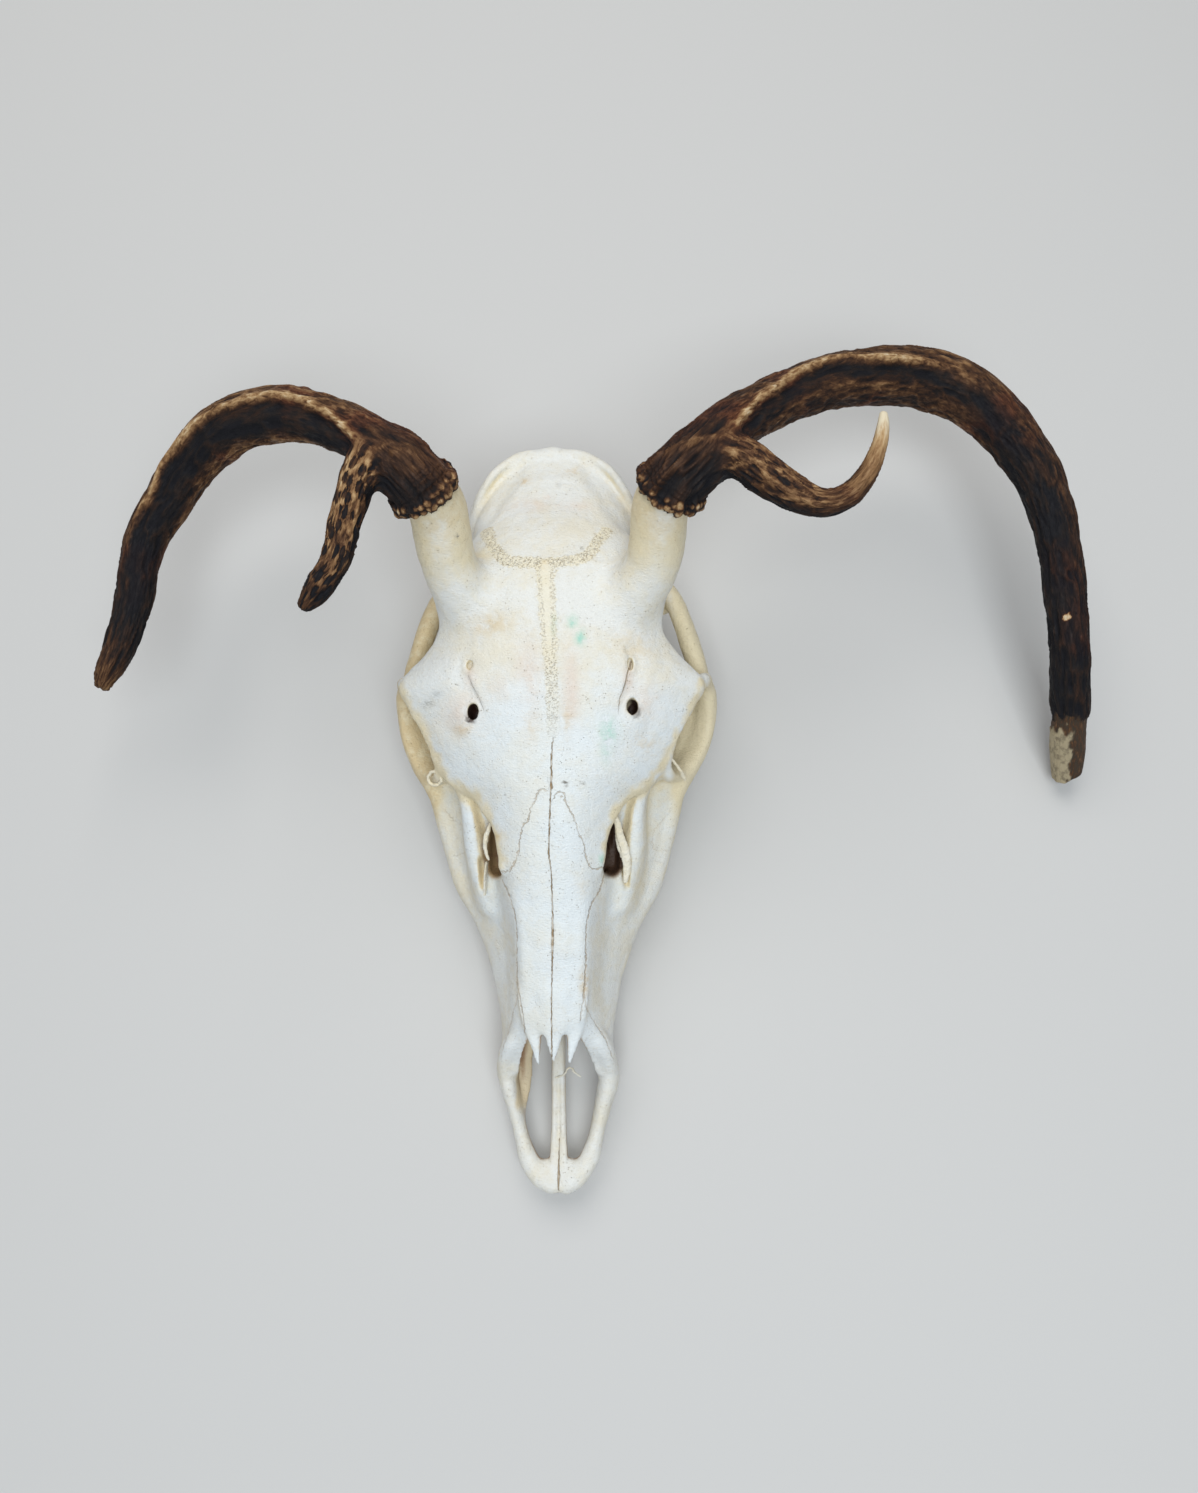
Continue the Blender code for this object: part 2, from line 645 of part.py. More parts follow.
def build_skull():
    """The whole bone: fused forms, then its hollows and openings, then flat ends where pieces meet it."""
    face = loft("face", face_rings())
    cut(face, *lumps(TEAR_PIT, 1), *lumps(TEAR_PIT, -1))
    forms = [
        face,
        loft("frontal shield", shield_rings()),
        loft("braincase", vault_rings()),
        strap("skull base", SKULL_BASE, 20),
        *lumps(MIDDLE_LUMPS),
    ]
    shell = fuse("shell", forms + side_forms(1) + side_forms(-1), SKIN_VOXEL, SKIN_ROUNDING)
    cut(shell, *openings())
    drop_crumbs(shell)
    slender = [strap("palate bar", PALATE_BAR, 16), strap("nasal middle prong", NASAL_MIDDLE_PRONG, 14)]
    for side in (1, -1):
        slender.append(strap("nasal prong", mirrored(NASAL_SIDE_PRONG, side), 14))
        slender.append(strap("premaxilla", mirrored(PREMAXILLA, side), 30))
    skull = fuse("skull", [shell] + slender, FINE_VOXEL, FINE_ROUNDING)
    thin_out(skull, SKULL_TRIANGLES)
    cut(skull, *end_planes())
    cut(skull, *[socket for side in (1, -1) for socket in tooth_sockets(side)])
    return skull


def openings():
    """Cutters for the nose's hollow and for every hole that shows in the bone."""
    cutters = [loft("nasal cavity", cavity_rings()), loft("nose opening", nose_opening_rings())]
    cutters += lumps(MIDDLE_HOLLOWS)
    for side in (1, -1):
        cutters += lumps(SIDE_HOLLOWS, side)
    return cutters


def nose_opening_rings():
    """A wedge over the front of the snout, whose slanted underside is the rim of the nose opening."""
    return [[(x, y, z) for y, z in NOSE_OPENING] for x in (-40.0, 40.0)]


def end_planes():
    """Cutters that leave flat faces: under the skull at the floor, and at the top of each pedicle."""
    planes = [slab("floor plane", (-60, 300, -20), (60, 390, 0))]
    for side in (1, -1):
        axis = Vector(BURR_AXIS[side]).normalized()
        block = slab("pedicle end", (-22, -22, 0), (22, 22, 30))
        place = Vector(BURR_CENTRE[side]) - axis * (BURR_THICKNESS / 2 + FIT_GAP)
        lean = axis.to_track_quat("Z", "Y").to_matrix().to_4x4()
        block.data.transform(Matrix.Translation(place * MM) @ lean)
        planes.append(block)
    return planes


def thin_out(made, triangles):
    """The skin with no more faces than its form needs."""
    made.modifiers.new("triangles", "TRIANGULATE")
    bake(made)
    fewer = made.modifiers.new("fewer faces", "DECIMATE")
    fewer.ratio = triangles / len(made.data.polygons)
    bake(made)


# ---- the cheek teeth ----


def tooth_places(side):
    """Centre, heading and size of each tooth of a row, front to back."""
    start = np.array(TOOTH_ROW_START)
    end = np.array(TOOTH_ROW_END)
    run = end - start
    outward = np.array([run[1], -run[0]]) / np.linalg.norm(run)
    ends = np.concatenate([[0], np.cumsum(TOOTH_LENGTHS)]) / sum(TOOTH_LENGTHS)
    places = []
    for k, (length, width) in enumerate(zip(TOOTH_LENGTHS, TOOTH_WIDTHS)):
        share = ends[k : k + 2, None]
        corners = start + run * share + outward * TOOTH_ROW_BULGE * 4 * share * (1 - share)
        centre = (corners[0] + corners[1]) / 2
        ahead = corners[1] - corners[0]
        heading = math.atan2(ahead[1], side * ahead[0])
        places.append((side * centre[0], centre[1], heading, length - FIT_GAP, width))
    return places


def tooth_rings(length, width, heights, swell=0.0):
    """Rounded outlines of a tooth at rows of height and share of its full width."""
    rings = []
    for z, share in heights:
        turn = np.linspace(0, 2 * math.pi, 12, endpoint=False)
        x = (length / 2 * share + swell) * np.sign(np.cos(turn)) * np.abs(np.cos(turn)) ** 0.5
        y = (width / 2 * share + swell) * np.sign(np.sin(turn)) * np.abs(np.sin(turn)) ** 0.5
        rings.append([(a, b, z) for a, b in zip(x, y)])
    return rings


def placed(made, x, y, heading):
    """The object's mesh moved to a place in the tooth row."""
    made.data.transform(Matrix.Translation(Vector((x, y, 0)) * MM) @ Matrix.Rotation(heading, 4, "Z"))
    return made


def tooth_sockets(side):
    """Cutters a little wider than the roots."""
    cutters = []
    for x, y, heading, length, width in tooth_places(side):
        heights = ((ALVEOLAR_HEIGHT - 6.0, 0.92), (ALVEOLAR_HEIGHT + SOCKET_DEPTH, 0.86))
        rings = tooth_rings(length, width, heights, FIT_GAP)
        cutters.append(placed(loft("socket", rings), x, y, heading))
    return cutters


def build_teeth(side):
    """The six upper cheek teeth of one side, each with a worn flat face on the floor."""
    teeth = []
    for number, (x, y, heading, length, width) in enumerate(tooth_places(side), 1):
        heights = (
            (0.0, 0.90),
            (1.2, 0.98),
            (ALVEOLAR_HEIGHT - 3.0, 0.92),
            (ALVEOLAR_HEIGHT + SOCKET_DEPTH - FIT_GAP, 0.82),
        )
        tooth = loft(f"tooth_{SIDE_NAME[side]}_{number}", tooth_rings(length, width, heights))
        teeth.append(placed(tooth, x, y, heading))
    return teeth


# ---- the antlers ----


def antler_rings(rows, count, sides, swell=0.0, ridges=5, ridge_depth=0.035):
    """Sections along a branch, with low lengthwise ridges that wander round it."""
    path = smooth_path(rows, count)
    across, over = ring_frames(path[:, :3], (0, 0, 1))
    turn = np.linspace(0, 2 * math.pi, sides, endpoint=False)
    rings = []
    for k in range(count):
        wander = 0.8 * math.sin(k * 0.7)
        radius = path[k, 3] * (1 + ridge_depth * np.cos(ridges * turn + wander)) + swell
        spread = np.outer(np.cos(turn) * radius, across[k]) + np.outer(np.sin(turn) * radius, over[k])
        rings.append(path[k, :3] + spread)
    return rings


def burr_rings(side, sides, swell=0.0):
    """Sections of the knobbly collar at the foot of the antler."""
    centre = np.array(BURR_CENTRE[side])
    axis = np.array(BURR_AXIS[side]) / np.linalg.norm(BURR_AXIS[side])
    across = np.cross(axis, (0, 0, 1))
    across /= np.linalg.norm(across)
    over = np.cross(across, axis)
    turn = np.linspace(0, 2 * math.pi, sides, endpoint=False)
    knobs = 0.06 * np.cos(turn * sides / 2)
    rings = []
    for height, radius, knobbly in BURR_PROFILE:
        reach = radius * (1 + knobs * knobbly) + swell
        spread = np.outer(np.cos(turn) * reach, across) + np.outer(np.sin(turn) * reach, over)
        rings.append(centre + axis * height + spread)
    return rings


def build_beam(side, swell=0.0):
    """The burr and the main beam as one body."""
    rings = burr_rings(side, BEAM_SIDES, swell)
    rings += antler_rings(BEAM[side], BEAM_RINGS, BEAM_SIDES, swell)
    return loft(f"antler_beam_{SIDE_NAME[side]}", rings)


def build_tine(side):
    """The brow tine, cut to sit against its beam."""
    rings = antler_rings(TINE_ROWS[side], TINE_RINGS, TINE_SIDES, ridges=4)
    tine = loft(f"brow_tine_{SIDE_NAME[side]}", rings)
    beam_space = build_beam(side, FIT_GAP)
    beam_space.name = "beam space"
    cut(tine, beam_space)
    return tine


# ---- finish and placing ----


def material(name, colour, roughness):
    """A plain finish."""
    made = bpy.data.materials.new(name)
    made.use_nodes = True
    surface = made.node_tree.nodes["Principled BSDF"]
    surface.inputs["Base Color"].default_value = (*colour, 1.0)
    surface.inputs["Roughness"].default_value = roughness
    surface.inputs["Metallic"].default_value = 0.0
    made.diffuse_color = (*colour, 1.0)
    return made


def dress(made, finish, group, anchor):
    """The piece gets its finish, smooth shading, its collection and its parent."""
    made.data.materials.clear()
    made.data.materials.append(finish)
    made.data.shade_smooth()
    made.data.set_sharp_from_angle(angle=math.radians(40))
    for other in made.users_collection:
        other.objects.unlink(made)
    group.objects.link(made)
    made.parent = anchor


def centre_footprint(anchor, pieces):
    """Moves the whole group so that the middle of its bounding box stands over the origin."""
    corners = np.array([made.matrix_world @ Vector(corner) for made in pieces for corner in made.bound_box])
    middle = (corners.min(axis=0) + corners.max(axis=0)) / 2
    anchor.location = (-middle[0], -middle[1], -corners[:, 2].min())


def main():
    """Clears the scene and builds the skull, the teeth and the antlers."""
    for old in list(bpy.data.objects):
        bpy.data.objects.remove(old)
    group = bpy.data.collections.new("deer skull with antlers")
    bpy.context.scene.collection.children.link(group)
    cutters = bpy.data.collections.new("cutters")
    bpy.context.scene.collection.children.link(cutters)
    anchor = bpy.data.objects.new("under the nose tip", None)
    group.objects.link(anchor)

    bone = material("bleached bone", BONE, 0.55)
    enamel = material("worn enamel", ENAMEL, 0.35)
    dark = material("dark antler", ANTLER, 0.6)
    brown = material("brown antler", TINE, 0.6)

    finishes = [(build_skull(), bone)]
    for side in (1, -1):
        finishes += [(tooth, enamel) for tooth in build_teeth(side)]
        finishes += [(build_beam(side), dark), (build_tine(side), brown)]
    for made, finish in finishes:
        dress(made, finish, group, anchor)
    bpy.context.view_layer.update()
    centre_footprint(anchor, [made for made, _ in finishes])


main()
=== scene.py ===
"""A young deer's skull with both antlers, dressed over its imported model.

The bone and each antler are modelled as fields of distance, from the same forms as the solids, and
skinned finely. Sizes are in millimetres from the point of the floor under the nose tip, with -Y
towards the nose and +X towards the animal's left, until a mesh is settled in the frame.
"""

import logging
import math
from dataclasses import dataclass, field
from enum import Enum
from typing import NamedTuple

import bpy
import numpy as np
from mathutils import Matrix, Vector


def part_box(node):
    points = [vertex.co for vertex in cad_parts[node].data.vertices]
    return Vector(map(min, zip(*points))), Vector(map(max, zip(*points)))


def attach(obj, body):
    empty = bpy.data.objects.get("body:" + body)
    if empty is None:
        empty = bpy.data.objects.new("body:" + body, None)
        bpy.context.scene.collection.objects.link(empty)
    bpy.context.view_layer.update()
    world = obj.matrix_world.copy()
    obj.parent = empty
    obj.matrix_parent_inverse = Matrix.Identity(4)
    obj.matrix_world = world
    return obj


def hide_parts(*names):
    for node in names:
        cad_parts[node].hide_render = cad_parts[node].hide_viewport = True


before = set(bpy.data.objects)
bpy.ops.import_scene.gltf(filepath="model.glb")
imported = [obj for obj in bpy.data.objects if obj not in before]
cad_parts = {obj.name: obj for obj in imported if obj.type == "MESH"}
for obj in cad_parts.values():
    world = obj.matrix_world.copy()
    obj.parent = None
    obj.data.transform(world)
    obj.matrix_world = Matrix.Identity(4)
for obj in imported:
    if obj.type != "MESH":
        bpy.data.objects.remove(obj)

LOG = logging.getLogger("deer skull")
MM = 0.001
BODY = "root"
NOSE_TIP_Y = -0.494  # the lowest y of the skull's solid, from the point under the nose tip

Row = tuple[float, ...]
Rows = tuple[Row, ...]
Colour = tuple[float, float, float]
Window = tuple[slice, ...]


class Side(Enum):
    """The animal's own left and right, as the sign of x."""

    LEFT = 1
    RIGHT = -1

    @property
    def word(self) -> str:
        """The side's name in lower case."""
        return self.name.lower()

    def rows(self, rows: Rows) -> np.ndarray:
        """The rows as an array, with their first column, x, on this side."""
        table = np.array(rows, float)
        table[:, 0] *= self.value
        return table


# ---- curves ----


def smooth_path(points: np.ndarray, count: int, closed: bool = False) -> np.ndarray:
    """Rows on a rounded path through the given rows.

    Args:
        points: the rows to pass through.
        count: how many rows to return.
        closed: whether the path runs back to its start.

    Returns:
        An array of count rows with as many columns as the points.
    """
    rows = np.array(points, float)
    if closed:
        rows = np.vstack([rows[-1:], rows, rows[:2]])
    else:
        rows = np.vstack([2 * rows[0] - rows[1], rows, 2 * rows[-1] - rows[-2]])
    spans = len(rows) - 3
    along = np.linspace(0, spans, count, endpoint=not closed)
    start = np.minimum(along.astype(int), spans - 1)
    t = (along - start)[:, None]
    a, b, c, d = (rows[start + k] for k in range(4))
    bend = (2 * a - 5 * b + 4 * c - d) * t**2 + (3 * b - a - 3 * c + d) * t**3
    return b + 0.5 * ((c - a) * t + bend)


def between_stations(stations: Rows, places: np.ndarray) -> np.ndarray:
    """The station columns at any places along the first one, on curves that never overshoot.

    Args:
        stations: rows whose first column is the place.
        places: where to read the other columns.

    Returns:
        One row of the other columns for each place.
    """
    table = np.array(stations, float)
    along = table[:, 0]
    values = table[:, 1:]
    step = np.diff(along)[:, None]
    slope = np.diff(values, axis=0) / step
    before, after = slope[:-1], slope[1:]
    same_way = before * after > 0
    total = np.where(same_way, before + after, 1.0)
    tangent = np.vstack([slope[:1], np.where(same_way, 2 * before * after / total, 0.0), slope[-1:]])
    i = np.clip(np.searchsorted(along, places) - 1, 0, len(step) - 1)
    t = ((places - along[i]) / step[i, 0])[:, None]
    rise = t * t * (3 - 2 * t)
    start = t * (1 - t) ** 2 * step[i]
    end = -t * t * (1 - t) * step[i]
    return values[i] * (1 - rise) + values[i + 1] * rise + tangent[i] * start + tangent[i + 1] * end


class Trace(NamedTuple):
    """Where points lie beside a drawn line."""

    across: np.ndarray  # signed distance, positive on the line's left
    along: np.ndarray  # length from the line's start
    past: np.ndarray  # how far beyond either end


def trace(points: np.ndarray, line: np.ndarray) -> Trace:
    """Measures points against a flat chain of straight runs.

    Args:
        points: two columns.
        line: the chain's corners, in two columns.

    Returns:
        The points' places beside the line.
    """
    best = np.full(len(points), np.inf)
    across = np.zeros(len(points))
    along = np.zeros(len(points))
    past = np.zeros(len(points))
    before = 0.0
    for number, (start, end) in enumerate(zip(line[:-1], line[1:])):
        run = end - start
        length = math.hypot(*run)
        offset = points - start
        share = offset @ run / length**2
        held = np.clip(share, 0, 1)
        gap = offset - held[:, None] * run
        distance = np.hypot(gap[:, 0], gap[:, 1])
        near = distance < best
        best[near] = distance[near]
        side = run[0] * offset[:, 1] - run[1] * offset[:, 0]
        across[near] = np.where(side[near] < 0, -distance[near], distance[near])
        along[near] = before + held[near] * length
        over = np.zeros(len(points))
        if number == 0:
            over = np.maximum(-share, 0) * length
        if number == len(line) - 2:
            over = np.maximum(over, (share - 1) * length)
        past[near] = over[near]
        before += length
    return Trace(across, along, past)


def fade(distance: np.ndarray, reach: float) -> np.ndarray:
    """A soft bump that is 1 at no distance and nearly 0 at twice the reach."""
    return np.exp(-((distance / reach) ** 2))


def ramp(value: np.ndarray, low: float, high: float) -> np.ndarray:
    """A smooth step from 0 at low to 1 at high."""
    t = np.clip((value - low) / (high - low), 0, 1)
    return t * t * (3 - 2 * t)


# ---- repeatable noise on arrays ----


@dataclass(frozen=True)
class Noise:
    """Smooth value noise in three dimensions, the same on each run."""

    seed: int

    def at(self, points: np.ndarray) -> np.ndarray:
        """Noise values from -1 to 1.

        Args:
            points: positions in cells of the noise, in three columns.

        Returns:
            One value for each point.
        """
        cell = np.floor(points).astype(np.int64)
        t = points - cell
        t = t * t * t * (t * (t * 6 - 15) + 10)
        total = np.zeros(len(points))
        for corner in range(8):
            offset = np.array([corner & 1, corner >> 1 & 1, corner >> 2 & 1])
            weight = np.prod(np.where(offset, t, 1 - t), axis=1)
            total += weight * self._value(cell + offset)
        return total

    def layers(self, points: np.ndarray, count: int) -> np.ndarray:
        """Several sizes of the noise on top of each other, each half as large and as strong."""
        return sum(self.at(points * 2**k + 17.3 * k) / 2**k for k in range(count))

    def _value(self, cell: np.ndarray) -> np.ndarray:
        """A fixed value from -1 to 1 for each whole cell."""
        mixed = cell[:, 0] * 374761393 + cell[:, 1] * 668265263 + cell[:, 2] * 2147483647
        mixed = (mixed + self.seed * 1274126177) & 0xFFFFFFFF
        mixed = ((mixed ^ (mixed >> 13)) * 1274126177) & 0xFFFFFFFF
        mixed = (mixed ^ (mixed >> 16)) & 0xFFFFFFFF
        return mixed / 2147483647.5 - 1


# ---- forms as a field of distance ----


@dataclass
class Course:
    """A sampled path with two unit vectors across it at each sample."""

    rows: np.ndarray  # x, y, z and the columns that follow them
    closed: bool
    up: Row = (0, 0, 1)

    def __post_init__(self) -> None:
        """Works out the directions along and across the path."""
        place = self.rows[:, :3]
        if self.closed:
            ahead = (np.roll(place, -1, axis=0) - np.roll(place, 1, axis=0)) / 2
        else:
            ahead = np.gradient(place, axis=0)
        self.pace = np.linalg.norm(ahead, axis=1, keepdims=True)
        self.ahead = ahead / self.pace
        across = np.cross(self.ahead, self.up)
        self.across = across / np.linalg.norm(across, axis=1, keepdims=True)
        self.over = np.cross(self.across, self.ahead)
        self.growth = np.gradient(self.rows[:, 3:], axis=0) / self.pace
        steps = np.linalg.norm(np.diff(place, axis=0), axis=1)
        self.along = np.concatenate([[0], np.cumsum(steps)])

    @classmethod
    def through(cls, rows: np.ndarray, step: float, closed: bool = False, up: Row = (0, 0, 1)) -> "Course":
        """A course on a rounded path through rows, sampled about every step."""
        rows = np.array(rows, float)
        length = np.linalg.norm(np.diff(rows[:, :3], axis=0), axis=1).sum()
        return cls(smooth_path(rows, max(8, int(length / step)), closed), closed, up)


@dataclass
class Field:
    """Signed distances on an even grid of points: below zero is inside the form."""

    low: Row
    high: Row
    pitch: float
    far: float = 14.0
    value: np.ndarray = field(init=False)

    def __post_init__(self) -> None:
        """Fills the grid with empty space."""
        size = (np.array(self.high) - self.low) / self.pitch
        self.value = np.full(tuple(np.ceil(size).astype(int) + 1), self.far, np.float32)

    def window(self, low: np.ndarray, high: np.ndarray) -> tuple[Window, list[np.ndarray]]:
        """The part of the grid between two corners.

        Args:
            low: the lowest corner.
            high: the highest corner.

        Returns:
            The slices of the grid, and the coordinates of their points along each axis.
        """
        first = np.floor((np.array(low) - self.low) / self.pitch).astype(int)
        last = np.ceil((np.array(high) - self.low) / self.pitch).astype(int) + 1
        first = np.clip(first, 0, self.value.shape)
        last = np.clip(last, 0, self.value.shape)
        places = [self.low[k] + self.pitch * np.arange(first[k], last[k]) for k in range(3)]
        return tuple(slice(a, b) for a, b in zip(first, last)), places

    def join(self, where: Window, other: np.ndarray, fillet: float) -> None:
        """Adds a form, with a rounded join of the given size."""
        mine = self.value[where]
        share = np.clip(0.5 + 0.5 * (mine - other) / fillet, 0, 1)
        self.value[where] = mine * (1 - share) + other * share - fillet * share * (1 - share)

    def carve(self, where: Window, other: np.ndarray, fillet: float) -> None:
        """Takes a form away, with a rounded edge of the given size."""
        mine = self.value[where]
        share = np.clip(0.5 - 0.5 * (mine + other) / fillet, 0, 1)
        self.value[where] = mine * (1 - share) - other * share + fillet * share * (1 - share)

    def put(self, where: Window, other: np.ndarray, fillet: float, away: bool) -> None:
        """Joins the form, or carves it where away is set."""
        (self.carve if away else self.join)(where, other.astype(np.float32), fillet)

    def ellipsoid(self, centre: Row, radii: Row, turn: Row, fillet: float, away: bool = False) -> None:
        """Joins or carves an ellipsoid.

        Args:
            centre: its middle.
            radii: its half lengths before it is turned.
            turn: degrees about X, then Y, then Z.
            fillet: the size of the rounding where it meets the form.
            away: whether it is carved and not joined.
        """
        spin = Matrix.Rotation(math.radians(turn[2]), 3, "Z")
        spin = spin @ Matrix.Rotation(math.radians(turn[1]), 3, "Y")
        spin = np.array(spin @ Matrix.Rotation(math.radians(turn[0]), 3, "X"))
        reach = max(radii) + fillet + 2 * self.pitch
        where, (x, y, z) = self.window(np.array(centre) - reach, np.array(centre) + reach)
        offset = np.stack(np.meshgrid(x - centre[0], y - centre[1], z - centre[2], indexing="ij"), -1)
        own = (offset @ spin) / np.array(radii)
        outer = np.sqrt((own**2).sum(-1))
        inner = np.sqrt(((own / np.array(radii)) ** 2).sum(-1))
        self.put(where, outer * (outer - 1) / np.maximum(inner, 1e-6), fillet, away)

    def sweep(self, rows: np.ndarray, fillet: float, up: Row = (0, 0, 1), closed: bool = False,
              away: bool = False, cap: float = 1.0) -> None:
        """Joins or carves a bar of oval section along a rounded path.

        Args:
            rows: x, y, z, half width and half height, or x, y, z and radius.
            fillet: the size of the rounding where it meets the form.
            up: the direction across which the half width lies level.
            closed: whether the bar is a ring.
            away: whether it is carved and not joined.
            cap: how far the ends bulge, as a share of the radius.
        """
        rows = np.array(rows, float)
        if rows.shape[1] == 4:
            rows = np.hstack([rows, rows[:, 3:]])
        course = Course.through(rows, 2.2, closed, up)
        margin = course.rows[:, 3:].max() + fillet + 2 * self.pitch
        places = course.rows[:, :3]
        where, axes = self.window(places.min(0) - margin, places.max(0) + margin)
        near = self.nearest(axes, places, margin)
        close = near >= 0
        k = near[close]
        spots = np.nonzero(close)
        offset = np.stack([axes[n][spots[n]] for n in range(3)], axis=1) - places[k]
        along = np.einsum("ij,ij->i", offset, course.ahead[k])
        past = np.zeros(len(k))
        if not closed:
            past = np.where(k == 0, -along, np.where(k == len(places) - 1, along, 0)).clip(0)
            along = np.where(past > 0, 0, along)
        radii = np.maximum(course.rows[k, 3:] + course.growth[k] * along[:, None], 0.2)
        least = radii.min(axis=1)
        side = np.einsum("ij,ij->i", offset, course.across[k])
        height = np.einsum("ij,ij->i", offset, course.over[k])
        local = np.column_stack([side, height, past])
        spans = np.column_stack([radii, least * cap])
        outer = np.linalg.norm(local / spans, axis=1)
        inner = np.linalg.norm(local / spans**2, axis=1)
        gap = np.full(near.shape, self.far, np.float32)
        gap[close] = np.where(outer < 0.05, -least, outer * (outer - 1) / np.maximum(inner, 1e-6))
        self.put(where, gap, fillet, away)

    def loft(self, places: np.ndarray, outlines: list[np.ndarray], fillet: float,
             away: bool = False) -> None:
        """Joins or carves a body with the same outline on both sides at each place along Y.

        Args:
            places: the grid's own places along Y that the body covers.
            outlines: x and z from the middle line's top round to its bottom, for each place.
            fillet: the size of the rounding where it meets the form.
            away: whether it is carved and not joined.
        """
        corners = np.vstack(outlines)
        margin = fillet + 2 * self.pitch
        reach = corners[:, 0].max() + margin
        low = (-reach, places[0] - margin, corners[:, 1].min() - margin)
        high = (reach, places[-1] + margin, corners[:, 1].max() + margin)
        where, (x, y, z) = self.window(np.array(low), np.array(high))
        columns, index = np.unique(np.round(np.abs(x), 4), return_inverse=True)
        points = np.stack(np.meshgrid(columns, z, indexing="ij"), -1).reshape(-1, 2)
        gap = np.empty((len(x), len(y), len(z)), np.float32)
        for k, place in enumerate(y):
            outline = outlines[int(np.argmin(np.abs(places - place)))]
            flat = half_outline_gap(points, outline).reshape(len(columns), len(z))[index]
            gap[:, k, :] = np.maximum(flat, max(places[0] - place, place - places[-1]))
        self.put(where, gap, fillet, away)

    def collar(self, centre: np.ndarray, axis: np.ndarray, radius: float, half_height: float,
               edge: float, fillet: float) -> None:
        """Joins a disc with a rounded edge.

        Args:
            centre: the disc's middle.
            axis: the direction through it, of length 1.
            radius: its radius without the rounding.
            half_height: half its thickness.
            edge: the radius of the rounding.
            fillet: the size of the rounding where it meets the form.
        """
        reach = radius + edge + fillet + 2 * self.pitch
        where, (x, y, z) = self.window(centre - reach, centre + reach)
        offset = np.stack(np.meshgrid(x - centre[0], y - centre[1], z - centre[2], indexing="ij"), -1)
        height = offset @ axis
        out = np.sqrt(np.maximum((offset**2).sum(-1) - height**2, 0))
        across, up = out - radius, np.abs(height) - (half_height - edge)
        gap = np.minimum(np.maximum(across, up), 0) + np.hypot(across.clip(0), up.clip(0)) - edge
        self.put(where, gap, fillet, False)

    def half_space(self, low: Row, high: Row, normal: Row, offset: float, fillet: float) -> None:
        """Carves all within a box that lies on the normal's side of a plane.

        Args:
            low: the box's lowest corner.
            high: the box's highest corner.
            normal: the plane's normal, of length 1.
            offset: the plane's distance from the origin along its normal.
            fillet: the size of the rounding of the edge.
        """
        where, (x, y, z) = self.window(np.array(low), np.array(high))
        flat = x[:, None, None] * normal[0] + y[None, :, None] * normal[1] + z[None, None, :] * normal[2]
        self.carve(where, (offset - flat).astype(np.float32), fillet)

    def rows_between(self, first: float, last: float) -> np.ndarray:
        """The grid's own places along Y from first to last."""
        y = self.low[1] + self.pitch * np.arange(self.value.shape[1])
        return y[(y >= first) & (y <= last)]

    def at(self, points: np.ndarray) -> np.ndarray:
        """The field read between its grid points."""
        cell = (points - np.array(self.low)) / self.pitch
        start = np.clip(np.floor(cell).astype(int), 0, np.array(self.value.shape) - 2)
        t = np.clip(cell - start, 0, 1)
        total = np.zeros(len(points))
        for corner in range(8):
            offset = np.array([corner & 1, corner >> 1 & 1, corner >> 2 & 1])
            weight = np.prod(np.where(offset, t, 1 - t), axis=1)
            total += weight * self.value[tuple((start + offset).T)]
        return total

    def openness(self, points: np.ndarray, normals: np.ndarray, reach: float) -> np.ndarray:
        """How open the space in front of each point is, from 0 in a crevice to 1 on a free face."""
        steps = np.array([0.15, 0.35, 0.65, 1.0]) * reach
        found = sum(np.clip(self.at(points + normals * step) / step, 0, 1) for step in steps)
        return found / len(steps)

    @staticmethod
    def nearest(axes: list[np.ndarray], path: np.ndarray, reach: float) -> np.ndarray:
        """The number of the nearest path point for each grid point, or -1 where none is in reach."""
        shape = tuple(len(axis) for axis in axes)
        near = np.full(shape, -1, np.int32)
        best = np.full(shape, np.inf, np.float32)
        for k, place in enumerate(path):
            spans = []
            for axis, centre in zip(axes, place):
                spans.append(slice(*np.searchsorted(axis, (centre - reach - 2.0, centre + reach + 2.0))))
            local = [(axes[n][spans[n]] - place[n]) ** 2 for n in range(3)]
            gap = local[0][:, None, None] + local[1][None, :, None] + local[2][None, None, :]
            box = tuple(spans)
            closer = gap < best[box]
            best[box][closer] = gap[closer]
            near[box][closer] = k
        return near

